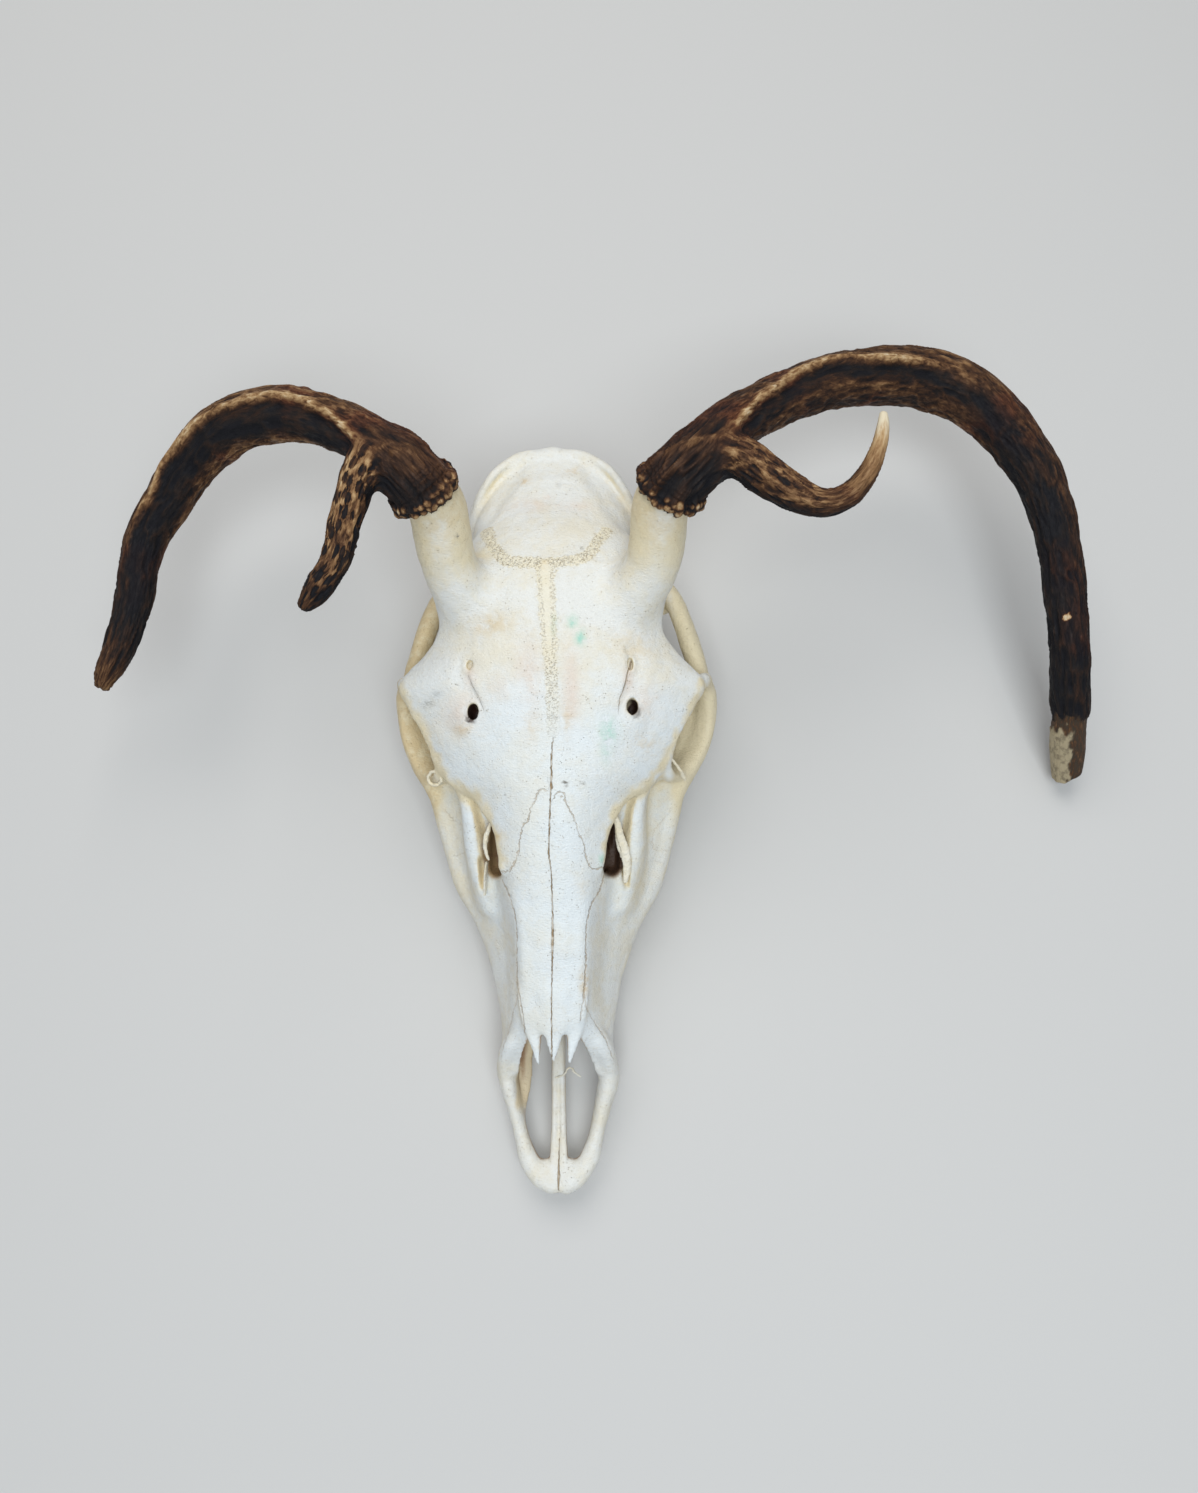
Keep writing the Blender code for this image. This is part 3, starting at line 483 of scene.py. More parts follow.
    def skin(self, name: str) -> bpy.types.Object:
        """The surface at zero distance, as a mesh of four-sided faces."""
        inside = self.value < 0
        shape = np.array(self.value.shape) - 1
        filled = np.zeros(shape, np.int8)
        corners = [np.array([k & 1, k >> 1 & 1, k >> 2 & 1]) for k in range(8)]
        for corner in corners:
            filled += inside[tuple(slice(o, o + n) for o, n in zip(corner, shape))]
        cells = np.argwhere((filled > 0) & (filled < 8))
        total = np.zeros((len(cells), 3))
        count = np.zeros(len(cells))
        units = np.eye(3, dtype=int)
        for corner in corners:
            for axis in np.flatnonzero(corner == 0):
                start = self.value[tuple((cells + corner).T)].astype(float)
                end = self.value[tuple((cells + corner + units[axis]).T)].astype(float)
                crossed = (start < 0) != (end < 0)
                share = start / np.where(crossed, start - end, 1)
                place = corner + share[:, None] * units[axis]
                total[crossed] += place[crossed]
                count += crossed
        points = (cells + total / count[:, None]) * self.pitch + np.array(self.low)
        number = np.full(shape, -1, np.int32)
        number[tuple(cells.T)] = np.arange(len(cells))
        quads = []
        for axis in range(3):
            side_a, side_b = (axis + 1) % 3, (axis + 2) % 3
            behind = np.take(inside, range(inside.shape[axis] - 1), axis)
            ahead = np.take(inside, range(1, inside.shape[axis]), axis)
            edges = np.argwhere(ahead != behind)
            inner = (edges[:, side_a] > 0) & (edges[:, side_b] > 0)
            inner &= (edges[:, side_a] < shape[side_a]) & (edges[:, side_b] < shape[side_b])
            edges = edges[inner]
            ring = [edges - units[side_a] - units[side_b], edges - units[side_b], edges,
                    edges - units[side_a]]
            quad = np.stack([number[tuple(cell.T)] for cell in ring], axis=1)
            outward = behind[tuple(edges.T)]
            quads.append(np.where(outward[:, None], quad, quad[:, ::-1]))
        return mesh_object(name, points, np.vstack(quads))


def half_outline_gap(points: np.ndarray, outline: np.ndarray) -> np.ndarray:
    """Signed distance of flat points at x of 0 or more to an outline mirrored at x of 0.

    Args:
        points: x and z.
        outline: x and z from the middle line's top to its bottom.

    Returns:
        One distance for each point, below zero inside.
    """
    best = np.full(len(points), np.inf)
    inside = np.zeros(len(points), bool)
    x, z = points.T
    for a, b in zip(outline[:-1], outline[1:]):
        run = b - a
        rel_x, rel_z = x - a[0], z - a[1]
        share = np.clip((rel_x * run[0] + rel_z * run[1]) / max(run @ run, 1e-12), 0, 1)
        best = np.minimum(best, (rel_x - share * run[0]) ** 2 + (rel_z - share * run[1]) ** 2)
        if run[1]:
            spans = (a[1] > z) != (b[1] > z)
            inside ^= spans & (rel_x < run[0] * rel_z / run[1])
    return np.sqrt(best) * np.where(inside, -1, 1)


# ---- meshes ----


def mesh_object(name: str, points: np.ndarray, faces: np.ndarray) -> bpy.types.Object:
    """A mesh object from arrays.

    Args:
        name: the object's name.
        points: vertices in millimetres.
        faces: rows of vertex numbers, all of one length.

    Returns:
        The object, linked to the scene.
    """
    mesh = bpy.data.meshes.new(name)
    sides = faces.shape[1]
    mesh.vertices.add(len(points))
    mesh.vertices.foreach_set("co", (points * MM).astype(np.float32).ravel())
    mesh.loops.add(faces.size)
    mesh.loops.foreach_set("vertex_index", faces.astype(np.int32).ravel())
    mesh.polygons.add(len(faces))
    mesh.polygons.foreach_set("loop_start", np.arange(0, faces.size, sides, dtype=np.int32))
    mesh.update(calc_edges=True)
    mesh.validate()
    made = bpy.data.objects.new(name, mesh)
    bpy.context.scene.collection.objects.link(made)
    return made


def points_of(made: bpy.types.Object) -> np.ndarray:
    """The mesh's vertices in millimetres."""
    flat = np.empty(len(made.data.vertices) * 3, np.float32)
    made.data.vertices.foreach_get("co", flat)
    return flat.reshape(-1, 3).astype(float) / MM


def normals_of(made: bpy.types.Object) -> np.ndarray:
    """The mesh's vertex normals."""
    flat = np.empty(len(made.data.vertices) * 3, np.float32)
    made.data.vertex_normals.foreach_get("vector", flat)
    return flat.reshape(-1, 3).astype(float)


def move_points(made: bpy.types.Object, points: np.ndarray) -> None:
    """Gives the mesh new vertex places, in millimetres."""
    made.data.vertices.foreach_set("co", (points * MM).astype(np.float32).ravel())
    made.data.update()


def bake(made: bpy.types.Object) -> None:
    """Replaces the mesh by what its modifiers make of it."""
    graph = bpy.context.evaluated_depsgraph_get()
    mesh = bpy.data.meshes.new_from_object(made.evaluated_get(graph))
    made.modifiers.clear()
    made.data = mesh


def soften(made: bpy.types.Object, rounds: int, factor: float = 0.5) -> None:
    """Smooths the mesh by a few rounds."""
    smooth = made.modifiers.new("soften", "SMOOTH")
    smooth.factor = factor
    smooth.iterations = rounds
    bake(made)


def ease(made: bpy.types.Object, weight: np.ndarray, rounds: int) -> None:
    """Smooths the mesh by many rounds where the weight, from 0 to 1, is high."""
    edges = np.empty(len(made.data.edges) * 2, np.int32)
    made.data.edges.foreach_get("vertices", edges)
    first, second = edges.reshape(-1, 2).T
    weight = np.where(weight > 0.01, weight, 0.0)
    touched = (weight[first] > 0) | (weight[second] > 0)
    first, second = first[touched], second[touched]
    points = points_of(made)
    count = len(points)
    around = np.maximum(np.bincount(first, minlength=count) + np.bincount(second, minlength=count), 1)
    for _ in range(rounds):
        for axis in range(3):
            place = points[:, axis]
            total = np.bincount(first, place[second], count) + np.bincount(second, place[first], count)
            points[:, axis] = place + (total / around - place) * 0.5 * weight
    move_points(made, points)


def thin_out(made: bpy.types.Object, triangles: int) -> None:
    """Collapses edges of a mesh of four-sided faces until about this many triangles are left."""
    count = 2 * len(made.data.polygons)
    if count > triangles:
        fewer = made.modifiers.new("fewer faces", "DECIMATE")
        fewer.ratio = triangles / count
        bake(made)


def drop_crumbs(made: bpy.types.Object) -> None:
    """Keeps the largest connected shell of the mesh."""
    count = len(made.data.vertices)
    edges = np.empty(len(made.data.edges) * 2, np.int32)
    made.data.edges.foreach_get("vertices", edges)
    edges = edges.reshape(-1, 2)
    group = np.arange(count)
    while True:
        low = np.minimum(group[edges[:, 0]], group[edges[:, 1]])
        after = group.copy()
        np.minimum.at(after, edges[:, 0], low)
        np.minimum.at(after, edges[:, 1], low)
        after = after[after]
        if (after == group).all():
            break
        group = after
    names, sizes = np.unique(group, return_counts=True)
    keep = group == names[sizes.argmax()]
    if keep.all():
        return
    faces = np.array([face.vertices[:] for face in made.data.polygons])
    faces = faces[keep[faces[:, 0]]]
    number = np.cumsum(keep) - 1
    old = made.data
    fresh = mesh_object("kept shell", points_of(made)[keep], number[faces])
    made.data = fresh.data
    bpy.data.objects.remove(fresh)
    bpy.data.meshes.remove(old)


def paint(made: bpy.types.Object, name: str, values: np.ndarray) -> None:
    """Keeps one number or one vector for each vertex under a name that a material reads."""
    flat = values.ndim == 1
    layer = made.data.attributes.new(name, "FLOAT" if flat else "FLOAT_VECTOR", "POINT")
    layer.data.foreach_set("value" if flat else "vector", values.astype(np.float32).ravel())


def settle(made: bpy.types.Object, nodes: list[str]) -> None:
    """Puts a piece in its place in the frame, in the stead of the nodes it replaces.

    Args:
        made: the piece, in millimetres from the point under the nose tip, at the scene's scale.
        nodes: the solids that it replaces.
    """
    low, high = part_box("skull")
    under_nose = Vector(((low.x + high.x) / 2, low.y - NOSE_TIP_Y * MM, low.z))
    made.data.transform(Matrix.Translation(under_nose))
    made.data.shade_smooth()
    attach(made, BODY)
    if nodes:
        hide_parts(*nodes)
    LOG.info("%s: %d faces", made.name, len(made.data.polygons))


# ---- finishes ----


@dataclass
class Nodes:
    """A material's node tree, written as short calls."""

    name: str

    def __post_init__(self) -> None:
        """Makes an empty material with a surface shader."""
        self.material = bpy.data.materials.new(self.name)
        self.material.use_nodes = True
        self.tree = self.material.node_tree
        self.surface = self.tree.nodes["Principled BSDF"]

    def add(self, kind: str, values: dict | None = None, **settings: object) -> bpy.types.Node:
        """A node with its settings and its unlinked sockets' values.

        Args:
            kind: the node's type.
            values: values or other nodes' outputs by the socket's name or number.
            settings: the node's own properties.

        Returns:
            The node.
        """
        node = self.tree.nodes.new(kind)
        for key, value in settings.items():
            setattr(node, key, value)
        for socket, value in (values or {}).items():
            self.feed(node.inputs[socket], value)
        return node

    def feed(self, socket: bpy.types.NodeSocket, value: object) -> None:
        """Links an output to the socket, or sets its value."""
        if isinstance(value, bpy.types.NodeSocket):
            self.tree.links.new(value, socket)
        elif isinstance(value, tuple) and len(value) == 3 and socket.type == "RGBA":
            socket.default_value = (*value, 1.0)
        else:
            socket.default_value = value

    def math(self, operation: str, *values: object, clamp: bool = False) -> bpy.types.NodeSocket:
        """The result of one sum."""
        node = self.add("ShaderNodeMath", dict(enumerate(values)), operation=operation, use_clamp=clamp)
        return node.outputs[0]

    def read(self, name: str) -> bpy.types.NodeSocket:
        """A number kept on the mesh."""
        return self.add("ShaderNodeAttribute", attribute_name=name).outputs["Fac"]

    def read_vector(self, name: str) -> bpy.types.NodeSocket:
        """A vector kept on the mesh."""
        return self.add("ShaderNodeAttribute", attribute_name=name).outputs["Vector"]

    def place(self) -> bpy.types.NodeSocket:
        """The point's place in the object."""
        return self.add("ShaderNodeTexCoord").outputs["Object"]

    def noise(self, where: bpy.types.NodeSocket, size: float, detail: float = 3.0, rough: float = 0.55,
              warp: float = 0.0) -> bpy.types.NodeSocket:
        """Noise from 0 to 1 with features of about the given size in millimetres."""
        values = {"Vector": where, "Scale": 1.0 / (size * MM), "Detail": detail, "Roughness": rough,
                  "Distortion": warp}
        return self.add("ShaderNodeTexNoise", values).outputs["Fac"]

    def cells(self, where: bpy.types.NodeSocket, size: float) -> bpy.types.NodeSocket:
        """Distance to the nearest of scattered points that lie about the given size apart."""
        node = self.add("ShaderNodeTexVoronoi", {"Vector": where, "Scale": 1.0 / (size * MM)})
        return node.outputs["Distance"]

    def stretch(self, where: bpy.types.NodeSocket, scale: Row) -> bpy.types.NodeSocket:
        """The coordinates scaled along each axis."""
        return self.add("ShaderNodeVectorMath", {0: where, 1: scale}, operation="MULTIPLY").outputs[0]

    def step(self, value: bpy.types.NodeSocket, low: float, high: float) -> bpy.types.NodeSocket:
        """A smooth step from 0 at low to 1 at high; where low is the larger it falls."""
        values = {"Value": value, 1: low, 2: high, 3: 0.0, 4: 1.0}
        if low > high:
            values = {"Value": value, 1: high, 2: low, 3: 1.0, 4: 0.0}
        return self.add("ShaderNodeMapRange", values, interpolation_type="SMOOTHSTEP").outputs[0]

    def mix(self, share: object, first: object, second: object, blend: str = "MIX") -> bpy.types.NodeSocket:
        """Two colours mixed by a share."""
        node = self.add("ShaderNodeMix", data_type="RGBA", blend_type=blend)
        self.feed(node.inputs[0], share)
        self.feed(node.inputs[6], first)
        self.feed(node.inputs[7], second)
        return node.outputs[2]

    def finish(self, colour: bpy.types.NodeSocket, height: bpy.types.NodeSocket, depth: float,
               roughness: object) -> bpy.types.Material:
        """Links the surface's colour, relief and roughness.

        Args:
            colour: the colour.
            height: the fine relief, from 0 to 1.
            depth: the relief's full height in millimetres.
            roughness: a number, or an output that varies over the surface.

        Returns:
            The material.
        """
        self.feed(self.surface.inputs["Base Color"], colour)
        self.feed(self.surface.inputs["Roughness"], roughness)
        bump = self.add("ShaderNodeBump", {"Height": height, "Distance": depth * MM, "Strength": 1.0})
        self.feed(self.surface.inputs["Normal"], bump.outputs["Normal"])
        return self.material


class Tone(NamedTuple):
    """A colour that the antler has where it is this light."""

    light: float
    colour: Colour


@dataclass(frozen=True)
class AntlerFinish:
    """Grooved antler from black with a faint painted blue sky reflection, through brown and tan to ivory."""

    name: str
    tones: tuple[Tone, ...] = (
        # The darkest tone's faint blue is a painted sky reflection.
        Tone(0.00, (0.008, 0.008, 0.011)),
        Tone(0.12, (0.013, 0.010, 0.010)),
        Tone(0.28, (0.034, 0.016, 0.010)),
        Tone(0.46, (0.095, 0.044, 0.020)),
        Tone(0.66, (0.260, 0.142, 0.064)),
        Tone(0.86, (0.480, 0.315, 0.160)),
        Tone(1.15, (0.740, 0.650, 0.480)),
    )
    lightest: float = 1.3
    red: Colour = (1.25, 0.72, 0.74)
    dull: Colour = (0.060, 0.047, 0.034)
    bare: Colour = (0.45, 0.375, 0.245)

    def shade(self, n: Nodes, light: bpy.types.NodeSocket) -> bpy.types.NodeSocket:
        """The colour for how light the antler is."""
        node = n.add("ShaderNodeValToRGB", {0: n.math("DIVIDE", light, self.lightest)})
        band = node.color_ramp
        for tone in self.tones[2:]:
            band.elements.new(tone.light / self.lightest)
        for element, tone in zip(band.elements, self.tones):
            element.position = tone.light / self.lightest
            element.color = (*tone.colour, 1.0)
        return node.outputs[0]

    def blend(self, n: Nodes, share: bpy.types.NodeSocket, first: object,
              second: object) -> bpy.types.NodeSocket:
        """A number between two others."""
        return n.math("ADD", first, n.math("MULTIPLY", share, n.math("SUBTRACT", second, first)))

    def material(self) -> bpy.types.Material:
        """The material."""
        n = Nodes(self.name)
        grain = n.read_vector("grain")
        tine_grain = n.read_vector("tine_grain")
        on_tine = n.read("on_tine")
        along = (0.3, 1.0, 1.0)
        fine = self.blend(n, on_tine, n.noise(n.stretch(grain, along), 1.25, 4.0, 0.62, 0.5),
                          n.noise(n.stretch(tine_grain, along), 1.25, 4.0, 0.62, 0.5))
        broad = self.blend(n, on_tine, n.noise(n.stretch(grain, (0.4, 1.0, 1.0)), 9.0, 2.0),
                           n.noise(n.stretch(tine_grain, (0.4, 1.0, 1.0)), 9.0, 2.0))
        pits = n.cells(n.stretch(tine_grain, (0.42, 1.0, 1.0)), 2.7)
        pits = n.math("ADD", pits, n.math("MULTIPLY", n.math("SUBTRACT", fine, 0.5), 0.7))
        pits = n.math("MULTIPLY", n.step(pits, 0.58, 0.36), n.read("pits"))
        smooth = n.read("smooth")
        rough = n.math("SUBTRACT", 1.0, n.math("MULTIPLY", smooth, 0.75))
        light = n.math("ADD", n.read("tone"), n.math("MULTIPLY", n.read("relief"), 0.13))
        grain_depth = n.math("MULTIPLY", n.math("ADD", n.read("tone"), 0.25), rough)
        streak = n.math("MULTIPLY", n.math("SUBTRACT", fine, 0.5), 1.45)
        light = n.math("ADD", light, n.math("MULTIPLY", streak, grain_depth))
        light = n.math("ADD", light, n.math("MULTIPLY", n.math("SUBTRACT", broad, 0.52), 0.35))
        light = n.math("SUBTRACT", light, n.math("MULTIPLY", pits, 0.42))
        colour = self.shade(n, light)
        reddish = n.step(n.noise(grain, 26.0, 1.0), 0.50, 0.70)
        reddish = n.math("MULTIPLY", reddish, n.step(light, 0.62, 0.45))
        colour = n.mix(n.math("MULTIPLY", reddish, 0.48), colour, n.mix(1.0, colour, self.red, "MULTIPLY"))
        dusty = self.shade(n, n.math("MULTIPLY", fine, 0.8))
        dusty = n.mix(n.step(fine, 0.35, 0.65), self.dull, dusty)
        colour = n.mix(n.read("dull"), colour, dusty)
        dirt = n.step(n.noise(grain, 5.0, 4.0, 0.65), 0.46, 0.62)
        colour = n.mix(n.read("bare"), colour, n.mix(n.math("MULTIPLY", dirt, 0.5), self.bare, self.dull))
        height = n.math("MULTIPLY", n.math("MULTIPLY", fine, rough), 1.1)
        height = n.math("SUBTRACT", height, n.math("MULTIPLY", pits, 0.6))
        n.feed(n.surface.inputs["Specular IOR Level"], 0.2)
        return n.finish(colour, height, 0.8, n.step(fine, 1.2, 0.1))


@dataclass(frozen=True)
class ToothFinish:
    """Ivory enamel, brown worn dentine, and dark stain in the hollows."""

    name: str
    enamel: Colour = (0.74, 0.66, 0.50)
    yellow: Colour = (0.52, 0.38, 0.20)
    dentine: Colour = (0.30, 0.17, 0.085)
    stain: Colour = (0.045, 0.025, 0.014)

    def material(self) -> bpy.types.Material:
        """The material."""
        n = Nodes(self.name)
        where = n.place()
        cloud = n.noise(where, 4.0, 3.0)
        colour = n.mix(n.step(cloud, 0.4, 0.7), self.enamel, self.yellow)
        colour = n.mix(n.read("dentine"), colour, self.dentine)
        hollow = n.math("ADD", n.read("hollow"), n.math("MULTIPLY", cloud, 0.5))
        colour = n.mix(n.step(hollow, 0.6, 1.0), colour, self.stain)
        lines = n.noise(n.stretch(where, (1.0, 1.0, 0.25)), 0.6, 3.0)
        return n.finish(colour, lines, 0.12, n.mix(n.read("dentine"), (0.28,) * 3, (0.55,) * 3))


# ---- the bone's parts ----


class FaceSection(NamedTuple):
    """One section across the snout and the cheeks."""

    y: float
    roof: float
    nasal_half: float
    nasal_z: float
    cheek_in: float
    side_half: float
    side_z: float
    rim_half: float
    rim_z: float
    rim_width: float
    palate_z: float


@dataclass(frozen=True)
class Snout:
    """The tapering box of the face, from the nose opening to the front of the eye sockets."""

    tooth_rim: float = 12.0  # floor to the bone edge that holds the teeth
    points_round: int = 160  # along each section's outline
    sections: tuple[FaceSection, ...] = (
        FaceSection(56, 44, 12, 40, -1.0, 29.5, 27, 24, 17, 8, 20),
        FaceSection(78, 61.5, 15, 56, -2.0, 28.8, 29, 23, 17, 8, 20),
        FaceSection(100, 70, 16.5, 64, 0.0, 32.0, 28, 25, 16, 8, 19),
        FaceSection(116, 75, 17.2, 69, 2.0, 37.0, 28, 32, 12, 14, 18),
        FaceSection(137, 82, 19, 74, 3.0, 45.0, 30, 38, 12, 16, 18),
        FaceSection(152, 88, 21, 77, 3.0, 53.0, 31, 43, 12, 19, 18),
        FaceSection(165, 93, 24, 78, 3.0, 56.0, 34, 46.5, 12, 21, 18),
        FaceSection(180, 96.5, 27, 76, 2.0, 60.0, 38, 48.5, 12, 22, 18),
        FaceSection(194, 96, 33, 73, 2.0, 63.0, 44, 48.5, 12, 22, 19),
        FaceSection(206, 94, 40, 72, 2.0, 62.0, 48, 46, 14, 20, 20),
    )
    lacrimal: Rows = (
        (47.0, 203.0, 70.0, 6.0, 7.0), (43.5, 193.0, 69.5, 5.6, 7.5), (41.0, 181.0, 64.5, 5.4, 8.0),
        (40.2, 169.0, 58.5, 5.4, 8.0), (38.0, 156.0, 52.5, 5.0, 8.0), (34.5, 142.0, 46.0, 4.0, 7.0),
    )
    tear_pit: tuple[Row, Row, Row] = ((55.5, 189.5, 67.0), (6.5, 12.0, 9.0), (0, -30, -20))

    def outline(self, form: FaceSection) -> np.ndarray:
        """Half of one section's outline, from the top of the middle line round to the palate."""
        rim_inner = form.rim_half - form.rim_width
        half = (
            (0.0, form.roof),
            (0.55 * form.nasal_half, form.roof - 0.12 * (form.roof - form.nasal_z)),
            (form.nasal_half, form.nasal_z + 0.25 * (form.roof - form.nasal_z)),
            (0.5 * (form.nasal_half + form.side_half) - form.cheek_in, 0.5 * (form.nasal_z + form.side_z)),
            (form.side_half, form.side_z),
            (form.rim_half, form.rim_z + 3.0),
            (form.rim_half - 1.5, form.rim_z),
            (rim_inner + 1.5, form.rim_z),
            (rim_inner - 1.0, form.rim_z + 3.0),
            (0.5 * rim_inner, form.palate_z),
        )
        return half_of(half, (0.0, form.palate_z), self.points_round)

    def add_to(self, bone: Field) -> None:
        """Joins the snout to the bone."""
        places = bone.rows_between(self.sections[0].y, self.sections[-1].y)
        rows = between_stations(self.sections, places)
        bone.loft(places, [self.outline(FaceSection(y, *row)) for y, row in zip(places, rows)], 4.0)

        for side in Side:
            bone.sweep(side.rows(self.lacrimal), 10.0)
            carve_ball(bone, side, *self.tear_pit, 5.0)


class CavitySection(NamedTuple):
    """One section across the nose's hollow."""

    y: float
    top_z: float
    top_half: float
    wide_half: float
    wide_z: float
    floor_half: float
    floor_z: float


@dataclass(frozen=True)
class NoseHollow:
    """The hollow of the nose, its slanted opening, and the fissures at its sides."""

    points_round: int = 96
    sections: tuple[CavitySection, ...] = (
        CavitySection(40, 52, 12, 20.5, 26, 19, 4),
        CavitySection(60, 57, 12, 20.5, 28, 19.5, 4),
        CavitySection(72, 57.5, 12, 20.5, 32, 18.5, 4),
        CavitySection(77, 58, 12, 19, 36, 14, 24),
        CavitySection(100, 65.5, 12.5, 18.5, 40, 15, 24),
        CavitySection(119, 71, 13, 20, 44, 16, 24),
        CavitySection(137, 77.5, 14.5, 22.5, 48, 18, 24),
        CavitySection(152, 82, 15, 25.5, 52, 19, 24),
        CavitySection(165, 85, 15, 27, 56, 19, 25),
        CavitySection(180, 88, 16, 26, 58, 18, 27),
        CavitySection(195, 90, 17, 23, 60, 15, 29),
        CavitySection(212, 88, 14, 17, 60, 12, 30),
        CavitySection(230, 76, 9, 12, 54, 10, 30),
    )
    rim_start: tuple[float, float] = (30.0, 54.0)  # z and y of the opening's slanted edge, low end
    rim_end: tuple[float, float] = (63.0, 81.0)
    channel: Rows = (
        (41.0, 193.0, 80.0, 1.6, 3.0), (36.5, 186.0, 78.0, 3.0, 6.0), (33.8, 177.0, 75.0, 4.2, 9.0),
        (32.2, 167.0, 72.0, 5.0, 10.0), (31.5, 158.5, 69.0, 4.6, 10.0),
    )
    hole: Rows = (
        (30.2, 177.0, 73.0, 1.2, 12.0), (29.8, 169.0, 70.0, 3.0, 14.0), (28.9, 161.0, 67.0, 4.4, 14.0),
        (28.6, 156.5, 65.0, 4.2, 13.0),
    )
    slit: Rows = (
        (35.6, 160.0, 66.0, 2.6, 7.0), (36.0, 152.0, 63.5, 1.8, 8.0), (36.3, 146.0, 61.5, 1.0, 6.0),
    )

    def outline(self, form: CavitySection) -> np.ndarray:
        """Half of one section's outline."""
        half = (
            (0.0, form.top_z),
            (form.top_half, form.top_z - 3.5),
            (form.wide_half, form.wide_z),
            (form.floor_half, form.floor_z + 2.0),
        )
        return half_of(half, (0.0, form.floor_z), self.points_round)

    def carve(self, bone: Field) -> None:
        """Carves the hollow and the opening in front."""
        places = bone.rows_between(self.sections[0].y, self.sections[-1].y)
        rows = between_stations(self.sections, places)
        outlines = [self.outline(CavitySection(y, *row)) for y, row in zip(places, rows)]
        bone.loft(places, outlines, 1.6, away=True)
        slope = (self.rim_end[0] - self.rim_start[0]) / (self.rim_end[1] - self.rim_start[1])
        up = Vector((0, -slope, 1)).normalized()
        offset = up.y * self.rim_start[1] + up.z * self.rim_start[0]
        bone.half_space((-42, 46, 28), (42, 94, 96), tuple(up), offset, 0.8)

    def carve_fissures(self, bone: Field) -> None:
        """Carves the gap beside each frontal edge: its channel, its hole and the slit below."""
        for side in Side:
            bone.sweep(side.rows(self.channel), 2.0, away=True)
            bone.sweep(side.rows(self.hole), 1.2, away=True)
            bone.sweep(side.rows(self.slit), 1.2, away=True)


class BrowSection(NamedTuple):
    """One section across the forehead's plate."""

    y: float
    roof: float
    half: float
    edge_z: float
    depth: float


@dataclass(frozen=True)
class Forehead:
    """The broad plate of the forehead, whose edges are the brows over the eyes."""

    points_round: int = 192
    fillet: float = 1.6
    sections: tuple[BrowSection, ...] = (
        BrowSection(150, 84, 21.5, 74, 6),
        BrowSection(153, 87, 24.4, 78, 6),
        BrowSection(160, 90.5, 25.6, 79.5, 6),
        BrowSection(166, 93.5, 26.6, 80.5, 7),
        BrowSection(175, 97, 29.4, 81.5, 8),
        BrowSection(182, 99, 33.2, 81.5, 8),
        BrowSection(188.5, 101, 38.2, 80.5, 8),
        BrowSection(193.5, 102, 46.0, 79, 8),
        BrowSection(199, 103.5, 52.4, 78.5, 8),
        BrowSection(207, 105.2, 57.8, 80.5, 8),
        BrowSection(216, 107.5, 62.2, 84, 8),
        BrowSection(226, 110, 66.8, 87, 8),
        BrowSection(235, 112.3, 71.4, 89.5, 8),
        BrowSection(243, 113.7, 75.4, 91, 9),
        BrowSection(247, 114.3, 74.9, 91, 9),
        BrowSection(252, 115.2, 70.5, 92, 10),
        BrowSection(259, 116, 63.2, 94.5, 12),
        BrowSection(268, 117, 56.5, 98, 14),
        BrowSection(282, 118, 52, 103, 14),
        BrowSection(296, 116.5, 48, 103, 14),
        BrowSection(308, 112.5, 44, 100, 13),
        BrowSection(319, 108.5, 40, 96, 12),
        BrowSection(330, 102, 33, 90, 12),
        BrowSection(341, 92, 26, 82, 12),
    )

    def outline(self, form: BrowSection) -> np.ndarray:
        """Half of one section's outline."""
        share = np.linspace(0, 0.97, 8)
        droop = (form.roof - form.edge_z) * share**2.3
        top = [(s * form.half, form.roof - d) for s, d in zip(share, droop)]
        under = [
            (form.half, form.edge_z - 1.5),
            (form.half - 2.0, form.edge_z - 4.5),
            (0.75 * form.half, 0.6 * form.edge_z + 0.4 * form.roof - form.depth),
            (0.4 * form.half, form.roof - form.depth - 3.0),
        ]
        return half_of(top + under, (0.0, form.roof - form.depth - 4.0), self.points_round)

    def add_to(self, bone: Field) -> None:
        """Joins the plate to the bone."""
        places = bone.rows_between(self.sections[0].y, self.sections[-1].y)
        rows = between_stations(self.sections, places)
        bone.loft(places, [self.outline(BrowSection(y, *row)) for y, row in zip(places, rows)], self.fillet)


class VaultSection(NamedTuple):
    """One section across the braincase and the wall between the eyes."""

    y: float
    roof: float
    wide_z: float
    half: float
    floor: float


